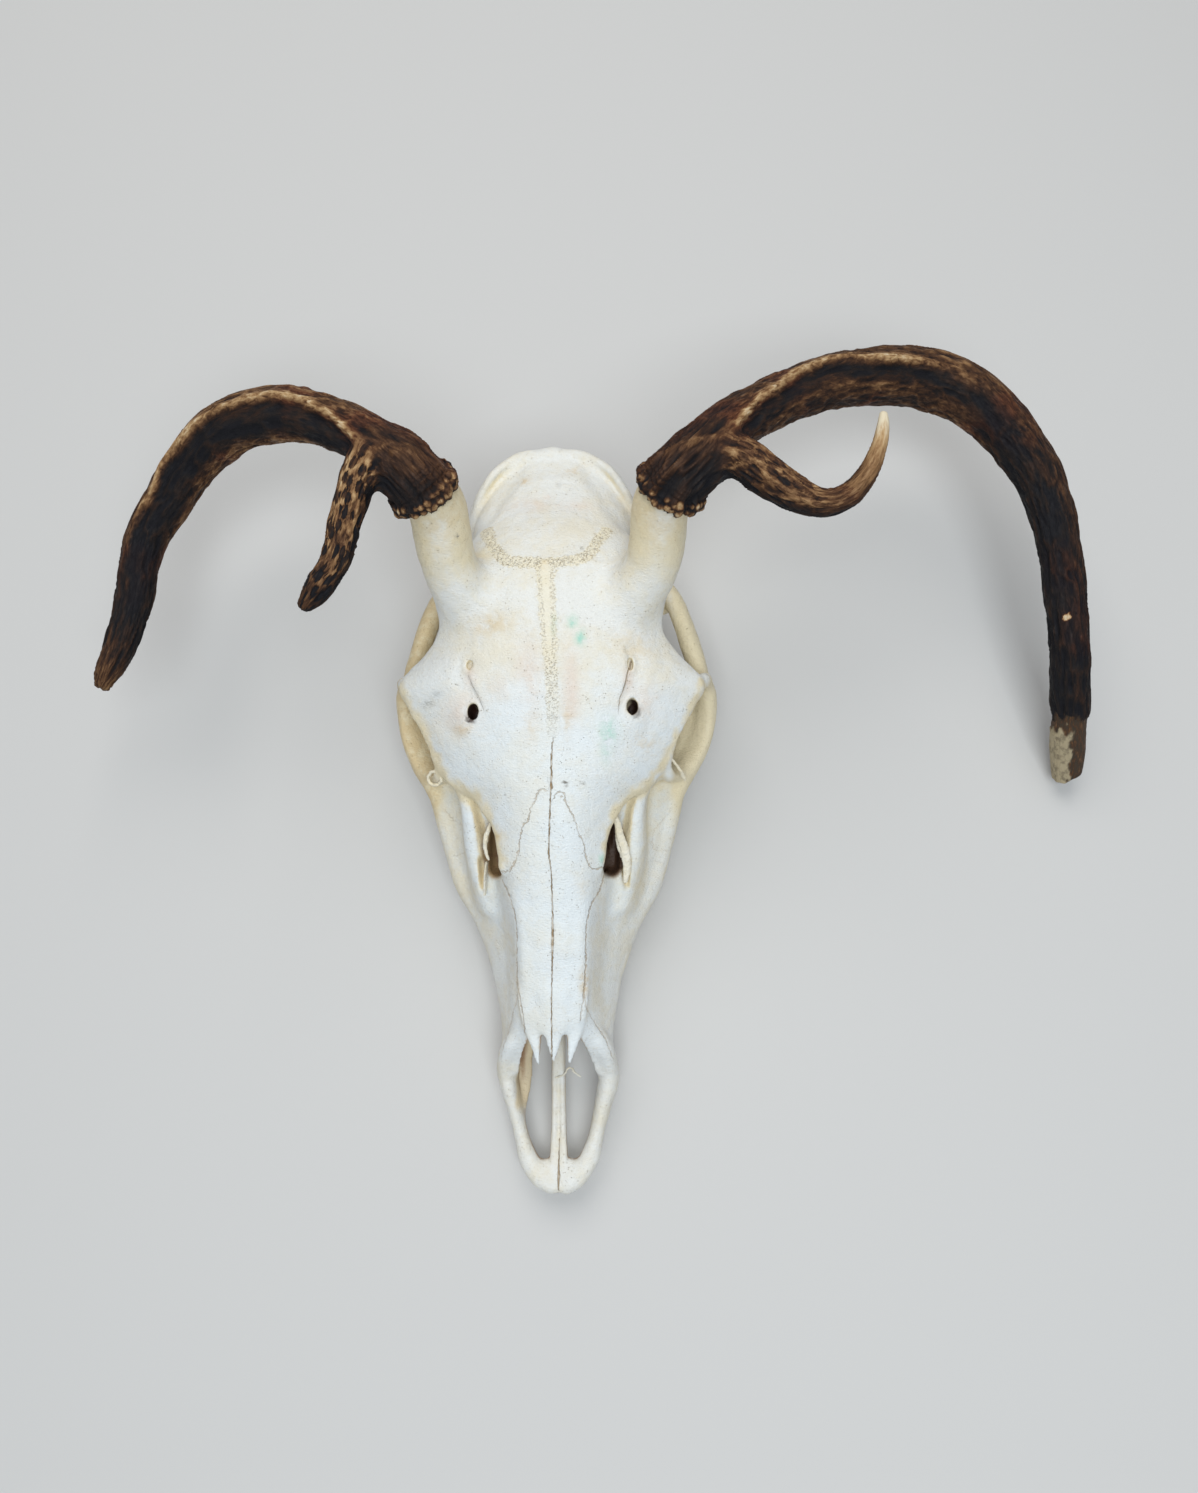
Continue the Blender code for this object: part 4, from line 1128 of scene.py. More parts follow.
@dataclass(frozen=True)
class Braincase:
    """The rounded case behind the forehead, its base, its crests and its openings behind."""

    points_round: int = 72
    sections: tuple[VaultSection, ...] = (
        VaultSection(206, 100, 66, 23, 34),
        VaultSection(222, 104, 72, 23, 34),
        VaultSection(240, 108, 74, 25, 34),
        VaultSection(255, 110, 76, 31, 32),
        VaultSection(270, 112, 78, 38, 30),
        VaultSection(288, 114, 76, 42, 28),
        VaultSection(305, 112, 72, 43.5, 27),
        VaultSection(322, 106.5, 68, 44, 27),
        VaultSection(338, 100, 64, 43.5, 27),
        VaultSection(350, 95.5, 60, 40.5, 28),
        VaultSection(360, 91.5, 58, 36, 30),
        VaultSection(366, 89.5, 64, 32, 46),
        VaultSection(371, 87.5, 72, 24, 60),
    )
    base: Rows = (
        (0.0, 228.0, 34.0, 8.0, 6.0), (0.0, 270.0, 31.0, 9.0, 5.0), (0.0, 320.0, 27.0, 12.0, 5.0),
        (0.0, 366.0, 28.0, 15.0, 6.0),
    )
    nuchal_crest: Rows = (
        (45.0, 317.0, 52.0, 4.5, 6.0), (45.2, 326.0, 66.0, 3.6, 6.0), (42.3, 338.0, 77.0, 3.0, 6.0),
        (37.0, 350.5, 82.5, 3.0, 5.6), (29.0, 362.0, 84.0, 3.0, 5.4), (17.0, 369.6, 83.5, 3.2, 5.4),
        (0.0, 371.6, 83.0, 3.4, 5.6),
    )
    paracondylar_process: Rows = (
        (39.0, 330.0, 46.0, 6.0, 9.0), (37.5, 335.0, 32.0, 4.2, 7.0), (35.0, 340.0, 16.0, 3.4, 5.5),
        (33.0, 343.0, 4.0, 3.0, 4.0), (32.6, 343.5, 1.0, 2.6, 3.4),
    )
    pterygoid_plate: Rows = (
        (15.0, 200.0, 26.0, 2.6, 8.0), (13.5, 214.0, 27.0, 2.0, 9.0), (12.5, 230.0, 29.0, 1.8, 10.0),
        (11.5, 246.0, 32.0, 1.8, 9.0), (12.5, 262.0, 35.0, 2.2, 6.0),
    )

    def outline(self, form: VaultSection) -> np.ndarray:
        """Half of one section's outline: a squarish oval."""
        turn = np.linspace(math.pi / 2, -math.pi / 2, self.points_round // 2 + 1)
        across = np.abs(np.cos(turn))
        up = np.sin(turn)
        rise = np.where(up > 0, form.roof - form.wide_z, form.wide_z - form.floor)
        x = form.half * across**0.85
        x[[0, -1]] = 0
        return np.column_stack([x, form.wide_z + rise * np.sign(up) * np.abs(up) ** 0.8])

    def add_to(self, bone: Field) -> None:
        """Joins the case, its base and its crests to the bone."""
        places = bone.rows_between(self.sections[0].y, self.sections[-1].y)
        rows = between_stations(self.sections, places)
        bone.loft(places, [self.outline(VaultSection(y, *row)) for y, row in zip(places, rows)], 5.0)
        bone.sweep(np.array(self.base), 4.0)
        bone.ellipsoid((0.0, 360.5, 54.0), (38.0, 12.5, 31.0), (0, 0, 0), 8.0)
        for side in Side:
            bone.sweep(side.rows(self.nuchal_crest), 5.0)
            bone.sweep(side.rows(self.paracondylar_process), 4.0, up=(0, 1, 0), cap=0.4)
            bone.sweep(side.rows(self.pterygoid_plate), 2.0)
            join_ball(bone, side, (52.0, 303.0, 53.0), (13.0, 10.0, 6.0), (0, 0, 0), 4.0)
            join_ball(bone, side, (42.0, 321.0, 48.0), (8.0, 15.0, 16.0), (0, 0, 0), 4.0)
            join_ball(bone, side, (25.0, 306.0, 23.0), (8.5, 13.0, 10.0), (0, 0, -15), 2.0)
            join_ball(bone, side, (14.0, 371.0, 30.0), (9.0, 9.5, 13.0), (20, 20, 0), 2.0)

    def carve(self, bone: Field) -> None:
        """Carves the throat, the brain's hollow and its door, and the ear canals."""
        bone.ellipsoid((0.0, 344.0, 54.0), (20.0, 20.0, 19.0), (0, 0, 0), 2.0, away=True)
        bone.ellipsoid((0.0, 372.0, 43.0), (13.0, 26.0, 12.0), (-12, 0, 0), 2.0, away=True)
        bone.ellipsoid((0.0, 229.0, 26.0), (10.5, 24.0, 11.0), (8, 0, 0), 2.0, away=True)
        for side in Side:
            carve_ball(bone, side, (52.0, 317.0, 50.0), (12.0, 3.2, 3.2), (0, 0, 0), 1.5)


@dataclass(frozen=True)
class EyeSocket:
    """The ring, the hollow and the cheek arch round each eye."""

    rim: Rows = (
        (63.5, 227.5, 83.0, 2.8), (69.0, 241.0, 86.0, 3.0), (75.6, 249.0, 79.0, 3.6),
        (78.0, 250.0, 66.0, 3.8), (79.0, 243.0, 55.0, 4.4), (75.5, 226.0, 50.5, 4.6),
        (67.6, 211.5, 52.0, 4.6), (60.0, 204.5, 61.0, 4.0), (57.5, 203.5, 71.0, 3.6),
        (56.8, 208.0, 75.5, 2.8), (59.6, 216.5, 79.0, 2.8),
    )
    floor: Rows = (
        (58.0, 205.0, 51.0, 4.0, 4.0), (65.0, 213.0, 47.0, 6.5, 3.5), (69.5, 226.0, 46.0, 7.5, 3.5),
        (73.0, 240.0, 48.5, 6.0, 3.5), (76.0, 250.0, 55.0, 3.0, 3.0),
    )
    cheek_arch: Rows = (
        (36.0, 130.0, 27.0, 2.0, 3.0), (49.0, 153.0, 32.0, 4.2, 5.2), (54.0, 168.0, 34.5, 4.5, 5.0),
        (58.5, 183.0, 39.5, 4.5, 5.5), (62.5, 198.0, 45.0, 4.5, 6.0), (70.0, 212.0, 49.0, 4.5, 6.0),
        (76.2, 226.0, 50.0, 4.0, 6.0), (78.6, 242.0, 54.0, 3.6, 6.5), (75.6, 257.0, 60.5, 4.4, 6.5),
        (71.0, 271.0, 63.5, 5.2, 6.0), (67.0, 285.0, 64.0, 5.4, 6.0), (62.5, 298.0, 61.5, 5.2, 6.0),
        (56.0, 308.0, 57.5, 5.0, 6.0), (45.0, 314.0, 56.0, 5.5, 6.0),
    )
    hollow: tuple[Row, Row, Row] = ((62.0, 226.0, 67.5), (26.0, 20.5, 16.5), (0, -8, 8))

    def add_to(self, bone: Field) -> None:
        """Joins the rings, the arches and the bone in front of and under each eye."""
        for side in Side:
            bone.sweep(side.rows(self.cheek_arch), 4.0)
            bone.sweep(side.rows(self.rim), 4.0, closed=True)
            bone.sweep(side.rows(self.floor), 4.0)
            join_ball(bone, side, (45.0, 206.0, 62.0), (17.0, 7.0, 20.0), (0, 0, 20), 4.0)
            join_ball(bone, side, (38.0, 208.0, 24.0), (9.0, 10.0, 12.0), (0, 0, 0), 4.0)

    def carve(self, bone: Field) -> None:
        """Carves each eye's hollow."""
        for side in Side:
            carve_ball(bone, side, *self.hollow, 3.0)


@dataclass(frozen=True)
class Pedicle:
    """The bone stem under one antler."""

    side: Side
    burr_centre: Row
    burr_axis: Row

    def rows(self) -> Rows:
        """x, y, z and radius from the forehead to just past the antler's foot."""
        top = Vector(self.burr_centre)
        axis = Vector(self.burr_axis).normalized()
        return (
            (self.side.value * 30.0, 272.0, 84.0, 9.0),
            (self.side.value * 40.0, 283.0, 103.0, 14.0),
            (0.86 * top.x, 297.5, 120.0, 13.3),
            (*(top - axis * 14.0 + Vector((self.side.value * 0.8, 0, 0))), 13.6),
            (*(top - axis * 3.6), 13.2),
        )

    def add_to(self, bone: Field) -> None:
        """Joins the stem to the forehead, with a flat end."""
        bone.sweep(np.array(self.rows()), 9.0, cap=0.05)


@dataclass(frozen=True)
class NoseBones:
    """The slender bones round the nose opening: premaxillae, palate rods and nasal prongs."""

    premaxilla: Rows = (
        (4.0, 2.5, 17.0, 4.0, 4.0), (9.5, 7.0, 17.0, 5.2, 4.4), (15.5, 15.5, 17.6, 5.0, 4.6),
        (18.6, 25.0, 18.6, 4.0, 5.0), (21.3, 36.0, 20.4, 4.0, 5.8), (24.8, 50.0, 23.6, 4.9, 7.6),
        (26.0, 59.0, 27.0, 5.0, 7.6), (24.8, 66.0, 34.5, 5.0, 7.0), (21.6, 72.5, 42.5, 5.0, 6.4),
        (16.8, 79.0, 48.0, 4.6, 5.4), (12.4, 87.0, 53.0, 4.2, 4.4), (10.0, 99.0, 56.0, 3.4, 3.4),
    )
    shelf: Rows = (
        (18.8, 38.0, 17.8, 1.4, 1.6), (18.0, 46.0, 18.2, 2.6, 1.7), (17.8, 54.0, 18.8, 3.8, 1.8),
        (17.8, 64.0, 20.0, 4.4, 2.0), (16.6, 74.0, 21.8, 4.8, 2.2), (15.0, 84.0, 23.2, 5.0, 2.4),
    )
    palate_rod: Rows = (
        (2.6, 9.0, 17.4, 2.9, 3.0), (2.2, 24.0, 18.4, 2.0, 2.8), (2.0, 40.0, 19.8, 1.8, 2.8),
        (1.8, 56.0, 21.4, 1.9, 3.4), (0.9, 66.0, 22.6, 2.6, 4.0), (0.0, 76.0, 23.9, 3.6, 4.5),
        (0.0, 96.0, 26.0, 3.4, 5.0),
    )
    nasal_front: Rows = (
        (7.4, 108.0, 66.8, 8.8, 2.0), (7.4, 98.0, 66.2, 8.8, 2.0), (7.3, 88.0, 62.8, 8.0, 1.9),
        (7.1, 81.0, 60.4, 6.8, 1.7), (7.0, 78.0, 59.4, 5.6, 1.3),
    )
    side_prong: Rows = (
        (11.5, 106.0, 62.0, 5.0, 2.2), (11.5, 97.0, 64.4, 5.8, 2.2), (11.2, 88.0, 61.8, 5.4, 2.0),
        (9.8, 77.0, 58.4, 3.8, 1.7), (8.3, 68.0, 56.8, 2.0, 1.3), (7.6, 62.5, 56.0, 0.7, 0.7),
    )
    middle_prong: Rows = (
        (0.0, 106.0, 67.0, 8.0, 2.2), (0.0, 97.0, 67.6, 7.6, 2.3), (0.0, 88.0, 64.6, 6.4, 2.2),
        (0.0, 77.0, 60.6, 4.6, 1.7), (0.0, 69.0, 58.9, 2.4, 1.4), (0.0, 64.0, 58.0, 0.8, 0.8),
    )

    def add_to(self, bone: Field) -> None:
        """Joins the slender bones to the snout."""
        bone.ellipsoid((0.0, 8.5, 17.0), (12.0, 8.0, 3.8), (0, 0, 0), 3.0)
        bone.sweep(np.array(self.middle_prong), 1.4)
        bone.sweep(Side.RIGHT.rows(self.shelf), 1.6)
        for side in Side:
            bone.sweep(side.rows(self.premaxilla), 3.2)
            bone.sweep(side.rows(self.palate_rod), 0.6)
            bone.sweep(side.rows(self.nasal_front), 1.6, up=(0.3 * side.value, 0, 1))
            bone.sweep(side.rows(self.side_prong), 1.2)


def half_of(half: tuple | list, bottom: tuple[float, float], count: int) -> np.ndarray:
    """The half of a rounded outline whose other half mirrors it.

    Args:
        half: x and z of the corners, the first on the middle line.
        bottom: x and z of the last corner, on the middle line too.
        count: points round the whole outline.

    Returns:
        x and z from the top round to the bottom.
    """
    whole = [*half, bottom, *[(-x, z) for x, z in half[:0:-1]]]
    per_corner = max(2, round(count / len(whole)))
    path = smooth_path(whole, per_corner * len(whole), closed=True)[: per_corner * len(half) + 1]
    path[:, 0] = np.maximum(path[:, 0], 0)
    return path


def join_ball(bone: Field, side: Side, centre: Row, radii: Row, turn: Row, fillet: float) -> None:
    """Joins an ellipsoid given for the left side, on either side."""
    sign = side.value
    bone.ellipsoid((sign * centre[0], *centre[1:]), radii, (turn[0], sign * turn[1], sign * turn[2]), fillet)


def carve_ball(bone: Field, side: Side, centre: Row, radii: Row, turn: Row, fillet: float) -> None:
    """Carves an ellipsoid given for the left side, on either side."""
    sign = side.value
    place = (sign * centre[0], *centre[1:])
    bone.ellipsoid(place, radii, (turn[0], sign * turn[1], sign * turn[2]), fillet, away=True)


class Seam(NamedTuple):
    """A line between two bones, or a painted shadow line: its corners in x and y, each with the line's half
    width.
    """

    name: str
    lines: tuple[Rows, ...]
    least_z: float
    strength: float


@dataclass(frozen=True)
class Seams:
    """The lines between the bones and the painted shadow lines beside the brow channels, read by the finish
    as distances.
    """

    middle: Seam = Seam("seam_middle", ((
        (2.2, 213.0, 0.2), (1.5, 204.0, 0.35), (1.3, 192.0, 0.4), (0.7, 184.0, 0.3), (-0.6, 160.0, 0.35),
        (0.6, 152.0, 0.25), (0.7, 130.0, 0.35), (0.6, 125.0, 0.6), (0.4, 118.0, 0.6), (0.2, 112.0, 0.3),
        (-0.5, 93.0, 0.25), (-0.9, 66.0, 0.3),
    ),), 45.0, 0.66)
    forehead: Seam = Seam("seam_forehead", (
        ((-1.0, 189.3, 0.25), (-5.0, 189.1, 0.3), (-6.0, 185.0, 0.3), (-8.9, 180.9, 0.3),
         (-10.0, 175.5, 0.3),
         (-13.0, 173.4, 0.35), (-14.3, 168.0, 0.3), (-15.7, 161.1, 0.4), (-17.3, 156.6, 0.6),
         (-19.9, 153.2, 0.4), (-23.2, 153.9, 0.3)),
        ((2.1, 184.7, 0.25), (4.1, 187.9, 0.25), (7.1, 188.5, 0.3), (8.2, 183.1, 0.3), (10.1, 179.7, 0.3),
         (12.8, 174.3, 0.35), (14.1, 169.3, 0.3), (16.3, 164.8, 0.3), (17.1, 158.0, 0.35),
         (19.5, 154.5, 0.3),
         (21.4, 153.6, 0.35), (25.1, 155.2, 0.3)),
    ), 60.0, 0.36)
    side: Seam = Seam("seam_side", (
        ((-24.4, 150.7, 0.3), (-20.5, 142.5, 0.25), (-17.7, 133.6, 0.25), (-17.4, 124.2, 0.3),
         (-17.7, 111.6, 0.25), (-17.8, 101.3, 0.4), (-14.7, 85.3, 0.3), (-14.1, 77.3, 0.2)),
        ((25.0, 152.2, 0.3), (23.0, 144.6, 0.25), (19.0, 137.6, 0.25), (16.7, 128.8, 0.3),
         (16.1, 111.4, 0.25), (15.6, 100.2, 0.4), (14.6, 92.2, 0.3), (13.0, 82.9, 0.2)),
    ), 45.0, 0.42)
    cheek: Seam = Seam("seam_cheek", (
        ((-17.8, 96.0, 0.3), (-18.6, 91.0, 0.35), (-21.0, 86.3, 0.3), (-24.7, 75.4, 0.3),
         (-27.5, 66.0, 0.2)),
        ((15.4, 95.0, 0.3), (16.0, 89.4, 0.35), (20.0, 81.9, 0.3), (25.1, 73.2, 0.3), (28.0, 65.0, 0.2)),
    ), 24.0, 0.28)
    tear: Seam = Seam("seam_tear", (
        ((-58.5, 190.0, 0.3), (-53.0, 183.8, 0.35), (-48.2, 181.5, 0.3), (-44.5, 174.6, 0.25),
         (-46.0, 168.0, 0.3), (-53.5, 167.1, 0.2)),
        ((59.3, 188.7, 0.2), (55.0, 183.4, 0.3), (50.8, 179.1, 0.3), (48.5, 172.0, 0.25),
         (50.7, 168.5, 0.35), (57.0, 169.3, 0.3)),
    ), 34.0, 0.16)
    # Painted shadow lines along the inner step of each brow channel.
    brow: Seam = Seam("seam_brow", (
        ((-38.4, 243.5, 0.1), (-37.0, 239.3, 0.16), (-33.6, 233.0, 0.16), (-31.0, 226.5, 0.0)),
        ((39.8, 250.6, 0.3), (38.2, 244.6, 0.35), (37.6, 240.6, 0.35), (36.0, 235.5, 0.25),
         (34.2, 231.3, 0.2),
         (33.5, 225.4, 0.05)),
    ), 90.0, 0.5)
    front: Seam = Seam("seam_front", (
        ((0.4, 26.0, 0.2), (0.2, 14.0, 0.3), (0.2, 8.0, 0.6), (0.0, 1.0, 0.3)),
    ), 12.0, 0.6)

    def paint_on(self, made: bpy.types.Object, points: np.ndarray) -> None:
        """Keeps each line's distance and half width on the mesh."""
        for seam in (self.middle, self.forehead, self.side, self.cheek, self.tear, self.brow, self.front):
            values = np.zeros((len(points), 3))
            values[:, 0] = 9.0
            for number, rows in enumerate(seam.lines):
                table = np.array(rows)
                side = np.ones(len(points), bool)
                if len(seam.lines) == 2:
                    side = (points[:, 0] < 0) == (number == 0)
                near = side & (points[:, 2] > seam.least_z)
                near &= (points[:, 1] > table[:, 1].min() - 6) & (points[:, 1] < table[:, 1].max() + 6)
                found = trace(points[near, :2], table[:, :2])
                lengths = np.hypot(*np.diff(table[:, :2], axis=0).T)
                widths = np.interp(found.along, np.concatenate([[0], np.cumsum(lengths)]), table[:, 2])
                hold = 1 - ramp(found.past, 0.0, 1.2)
                values[near, 0] = found.across
                values[near, 1] = widths * hold * (np.abs(found.across) < 5.0)
            values[:, 2] = seam.strength
            paint(made, seam.name, values)


class Patch(NamedTuple):
    """A soft oval of colour on the top of the bone."""

    x: float
    y: float
    half_width: float
    half_length: float
    strength: float


@dataclass(frozen=True)
class Stains:
    """Patches of colour seen on the bone, by tint."""

    pink: tuple[Patch, ...] = (
        Patch(-9.0, 240.0, 6.0, 18.0, 0.9),
        Patch(11.0, 236.0, 4.0, 20.0, 0.8),
        Patch(-22.0, 236.0, 9.0, 8.0, 0.35),
        Patch(-12.0, 336.0, 12.0, 5.0, 0.8),
        Patch(11.0, 336.0, 10.0, 4.0, 0.7),
        Patch(-1.6, 341.1, 1.6, 1.6, 2.2),
        Patch(-42.0, 228.0, 11.0, 9.0, 0.7),
        Patch(45.0, 231.0, 10.0, 9.0, 0.7),
        Patch(38.5, 240.0, 3.5, 7.0, 1.1),
        Patch(-38.0, 243.0, 3.5, 6.0, 0.8),
    )
    ochre: tuple[Patch, ...] = (
        Patch(-42.4, 219.6, 5.0, 3.0, 1.0),
        Patch(-28.0, 268.0, 11.0, 5.0, 0.8),
        Patch(46.0, 212.6, 7.0, 5.0, 0.7),
        Patch(42.0, 258.0, 10.0, 8.0, 0.5),
        Patch(-14.3, 352.9, 3.0, 2.0, 1.2),
        Patch(10.8, 359.0, 3.0, 2.0, 1.2),
        Patch(-1.6, 297.8, 2.2, 2.6, 1.6),
        Patch(9.0, 222.0, 3.0, 8.0, 0.8),
        Patch(-8.0, 219.0, 3.0, 7.0, 0.6),
        Patch(15.6, 101.0, 3.0, 7.0, 1.2),
        Patch(-17.8, 101.0, 2.0, 6.0, 0.8),
        Patch(-27.0, 170.5, 2.5, 3.0, 1.0),
        Patch(14.5, 146.0, 3.0, 5.0, 0.5),
        Patch(-60.0, 215.0, 8.0, 12.0, 0.35),
    )
    green: tuple[Patch, ...] = (
        Patch(11.9, 267.4, 2.4, 3.4, 1.0),
        Patch(15.7, 259.9, 2.2, 3.4, 1.2),
        Patch(3.0, 266.0, 1.6, 6.0, 0.5),
        Patch(28.6, 217.2, 4.4, 6.0, 0.8),
        Patch(27.0, 208.0, 2.6, 6.0, 0.4),
        Patch(24.4, 158.5, 1.6, 3.0, 0.8),
    )
    dark: tuple[Patch, ...] = (
        Patch(-59.5, 233.5, 4.0, 1.5, 0.8),
        Patch(-55.5, 237.0, 3.0, 1.4, 0.5),
        Patch(8.5, 192.4, 0.8, 0.8, 2.4),
        Patch(16.7, 192.7, 0.7, 0.7, 1.2),
        Patch(3.8, 349.7, 0.9, 0.9, 1.4),
        Patch(16.3, 307.7, 0.8, 0.8, 1.4),
        Patch(-40.4, 302.1, 0.7, 0.7, 1.2),
        Patch(-44.0, 240.5, 0.7, 0.7, 1.0),
    )

    def share(self, patches: tuple[Patch, ...], points: np.ndarray) -> np.ndarray:
        """How strongly the patches colour each point."""
        total = np.zeros(len(points))
        for patch in patches:
            sideways = (points[:, 0] - patch.x) / patch.half_width
            lengthways = (points[:, 1] - patch.y) / patch.half_length
            out = np.hypot(sideways, lengthways)
            total = np.maximum(total, patch.strength * fade(out, 0.9))
        return total * (points[:, 2] > 58)


@dataclass(frozen=True)
class Relief:
    """Low ridges, grooves and rough edges, carved into the skin of the bone."""

    temporal: tuple[Rows, Rows] = (
        ((-41.0, 319.4), (-27.9, 330.4), (-20.0, 343.2), (-14.4, 353.4), (-13.0, 362.0)),
        ((38.4, 317.9), (24.4, 335.2), (19.2, 346.7), (16.0, 353.9), (14.0, 362.0)),
    )
    brow_step: tuple[Rows, Rows] = (
        ((-37.6, 248.0), (-38.4, 243.5), (-37.0, 239.3), (-33.6, 233.0), (-31.0, 226.5)),
        ((38.4, 253.0), (39.8, 250.6), (38.2, 244.6), (37.6, 240.6), (36.0, 235.5), (34.2, 231.3),
         (33.5, 225.4)),
    )
    frontal_edge: tuple[Rows, Rows] = (
        ((-75.0, 245.0), (-71.1, 233.7), (-66.2, 225.0), (-62.8, 215.3), (-58.1, 207.8), (-52.8, 199.1),
         (-46.5, 193.9), (-37.5, 189.3), (-33.2, 181.5), (-29.0, 174.9), (-26.0, 165.7), (-25.0, 156.0)),
        ((74.5, 245.0), (72.3, 238.4), (68.4, 233.1), (66.2, 223.3), (61.8, 217.3), (57.3, 210.8),
         (52.8, 202.5), (46.3, 194.4), (38.4, 188.5), (33.0, 182.9), (29.5, 175.3), (27.0, 166.7),
         (26.0, 157.5)),
    )
    crest: tuple[Rows, ...] = ((
        (-44.4, 320.4), (-40.5, 331.0), (-35.6, 344.2), (-29.3, 358.3), (-18.1, 369.2), (-0.6, 372.8),
        (15.3, 369.6), (28.4, 359.3), (36.6, 346.5), (43.0, 330.9),
    ),)
    crown: Rows = (
        (-32.6, 324.0), (-29.6, 314.0), (-24.6, 305.0), (-20.6, 300.4), (-14.0, 299.4), (-2.1, 297.6),
        (8.0, 298.4), (17.0, 301.0), (21.4, 306.0), (24.0, 313.0), (29.0, 321.4),
    )
    middle: Rows = ((-1.3, 298.0), (-0.1, 278.3), (1.0, 258.1), (2.0, 238.6), (2.4, 229.4), (2.2, 213.0))

    def beside(self, lines: tuple, points: np.ndarray) -> np.ndarray:
        """Distance to the nearer of some lines, plus what lies beyond their ends."""
        found = [trace(points[:, :2], np.array(line)) for line in lines]
        return np.min([np.hypot(each.across, each.past) for each in found], axis=0)

    def bands(self, points: np.ndarray) -> np.ndarray:
        """What the finish reads of the granular bands of the crown and the middle line.

        Args:
            points: the skin's points.

        Returns:
            How far each point is outside the bands, how yellow it is, and how smooth the band's core is.
        """
        crown = trace(points[:, :2], np.array(self.crown))
        middle = trace(points[:, :2], np.array(self.middle))
        half = np.interp(middle.along, (0, 5, 40, 52, 70, 86), (4.4, 4.4, 3.6, 2.8, 3.1, 2.2))
        wide = np.interp(crown.along, (0, 12, 22, 60, 80), (3.6, 2.5, 3.1, 3.0, 2.6))
        over = np.abs(crown.across) - wide + 1.5 * np.maximum(crown.past, 0)
        along = np.abs(middle.across) - half + 1.5 * np.maximum(middle.past, 0)
        fading = np.interp(middle.along, (0, 48, 70, 86), (0.85, 0.7, 0.4, 0.12))
        yellow = np.where(over < along, 0.95, fading)
        core = np.where(over < along, 0.0, 1 - ramp(middle.along, 38, 56))
        out = np.where(points[:, 2] > 80, np.minimum(over, along), 9.0).clip(-6, 9)
        return np.column_stack([out, yellow, core])

    def brow(self, points: np.ndarray) -> np.ndarray:
        """The channel beside each brow hole, with a sharp step on its inner side."""
        depth = np.zeros(len(points))
        for sign, line in zip((-1, 1), self.brow_step):
            found = trace(points[:, :2], np.array(line))
            out = sign * found.across
            hold = (1 - ramp(found.past, 0.0, 6.0)) * ramp(points[:, 1], 222, 238)
            floor = ramp(out, -0.5, 0.7) * (1 - ramp(out, 3.0, 11.0)) * hold
            lip = fade(out + 1.6, 1.5) * hold
            depth = np.where(points[:, 0] * sign > 0, 1.2 * floor - 0.25 * lip, depth)
        return depth

    def height(self, points: np.ndarray, normals: np.ndarray, noise: Noise) -> np.ndarray:
        """How far the skin moves outwards at each point."""
        x, y, z = points.T
        top = ramp(normals[:, 2], 0.15, 0.6)
        dome = top * ramp(y, 308, 324) * ramp(z, 68, 80)
        out = self.beside(self.temporal, points)
        ridge = np.interp(y, (318, 331, 344, 354), (40, 26, 19.5, 15))
        outer = ramp(np.abs(x) - ridge, -2.5, 8.5) * ramp(self.beside(self.crest, points), 3.0, 10.0)
        height = dome * (0.35 * fade(out, 3.2) - 1.1 * outer)
        height += dome * 0.30 * fade(y - 353.2, 1.8) * ramp(16 - np.abs(x), 0, 4)
        height += dome * 0.6 * fade(self.beside(self.crest, points) - 1.5, 2.2)
        plate = top * ramp(z, 90, 98)
        height -= plate * self.brow(points)
        height -= plate * 0.9 * fade(np.hypot(np.abs(x) - 39, y - 228), 11.0)
        edge = fade(self.beside(self.frontal_edge, points), 4.0) * ramp(z, 72, 78)
        height += edge * (0.45 * noise.layers(points / 9.0, 3) + 0.35)
        height += top * ramp(z, 60, 70) * 0.45 * fade(x, 5.0) * ramp(y, 205, 240) * (1 - ramp(y, 290, 300))
        height -= top * ramp(z, 50, 58) * 0.45 * fade(x, 2.2) * (1 - ramp(y, 180, 200))
        band = self.bands(points)
        granular = (1 - ramp(band[:, 0], -0.8, 0.6)) * (1 - 0.7 * band[:, 2] * ramp(-band[:, 0], 1.0, 2.5))
        height += top * granular * (0.12 + 0.24 * noise.layers(points / 1.5, 2))
        height += 0.5 * noise.layers(points / 24.0, 2) + 0.16 * noise.layers(points / 5.0, 2)
        return height


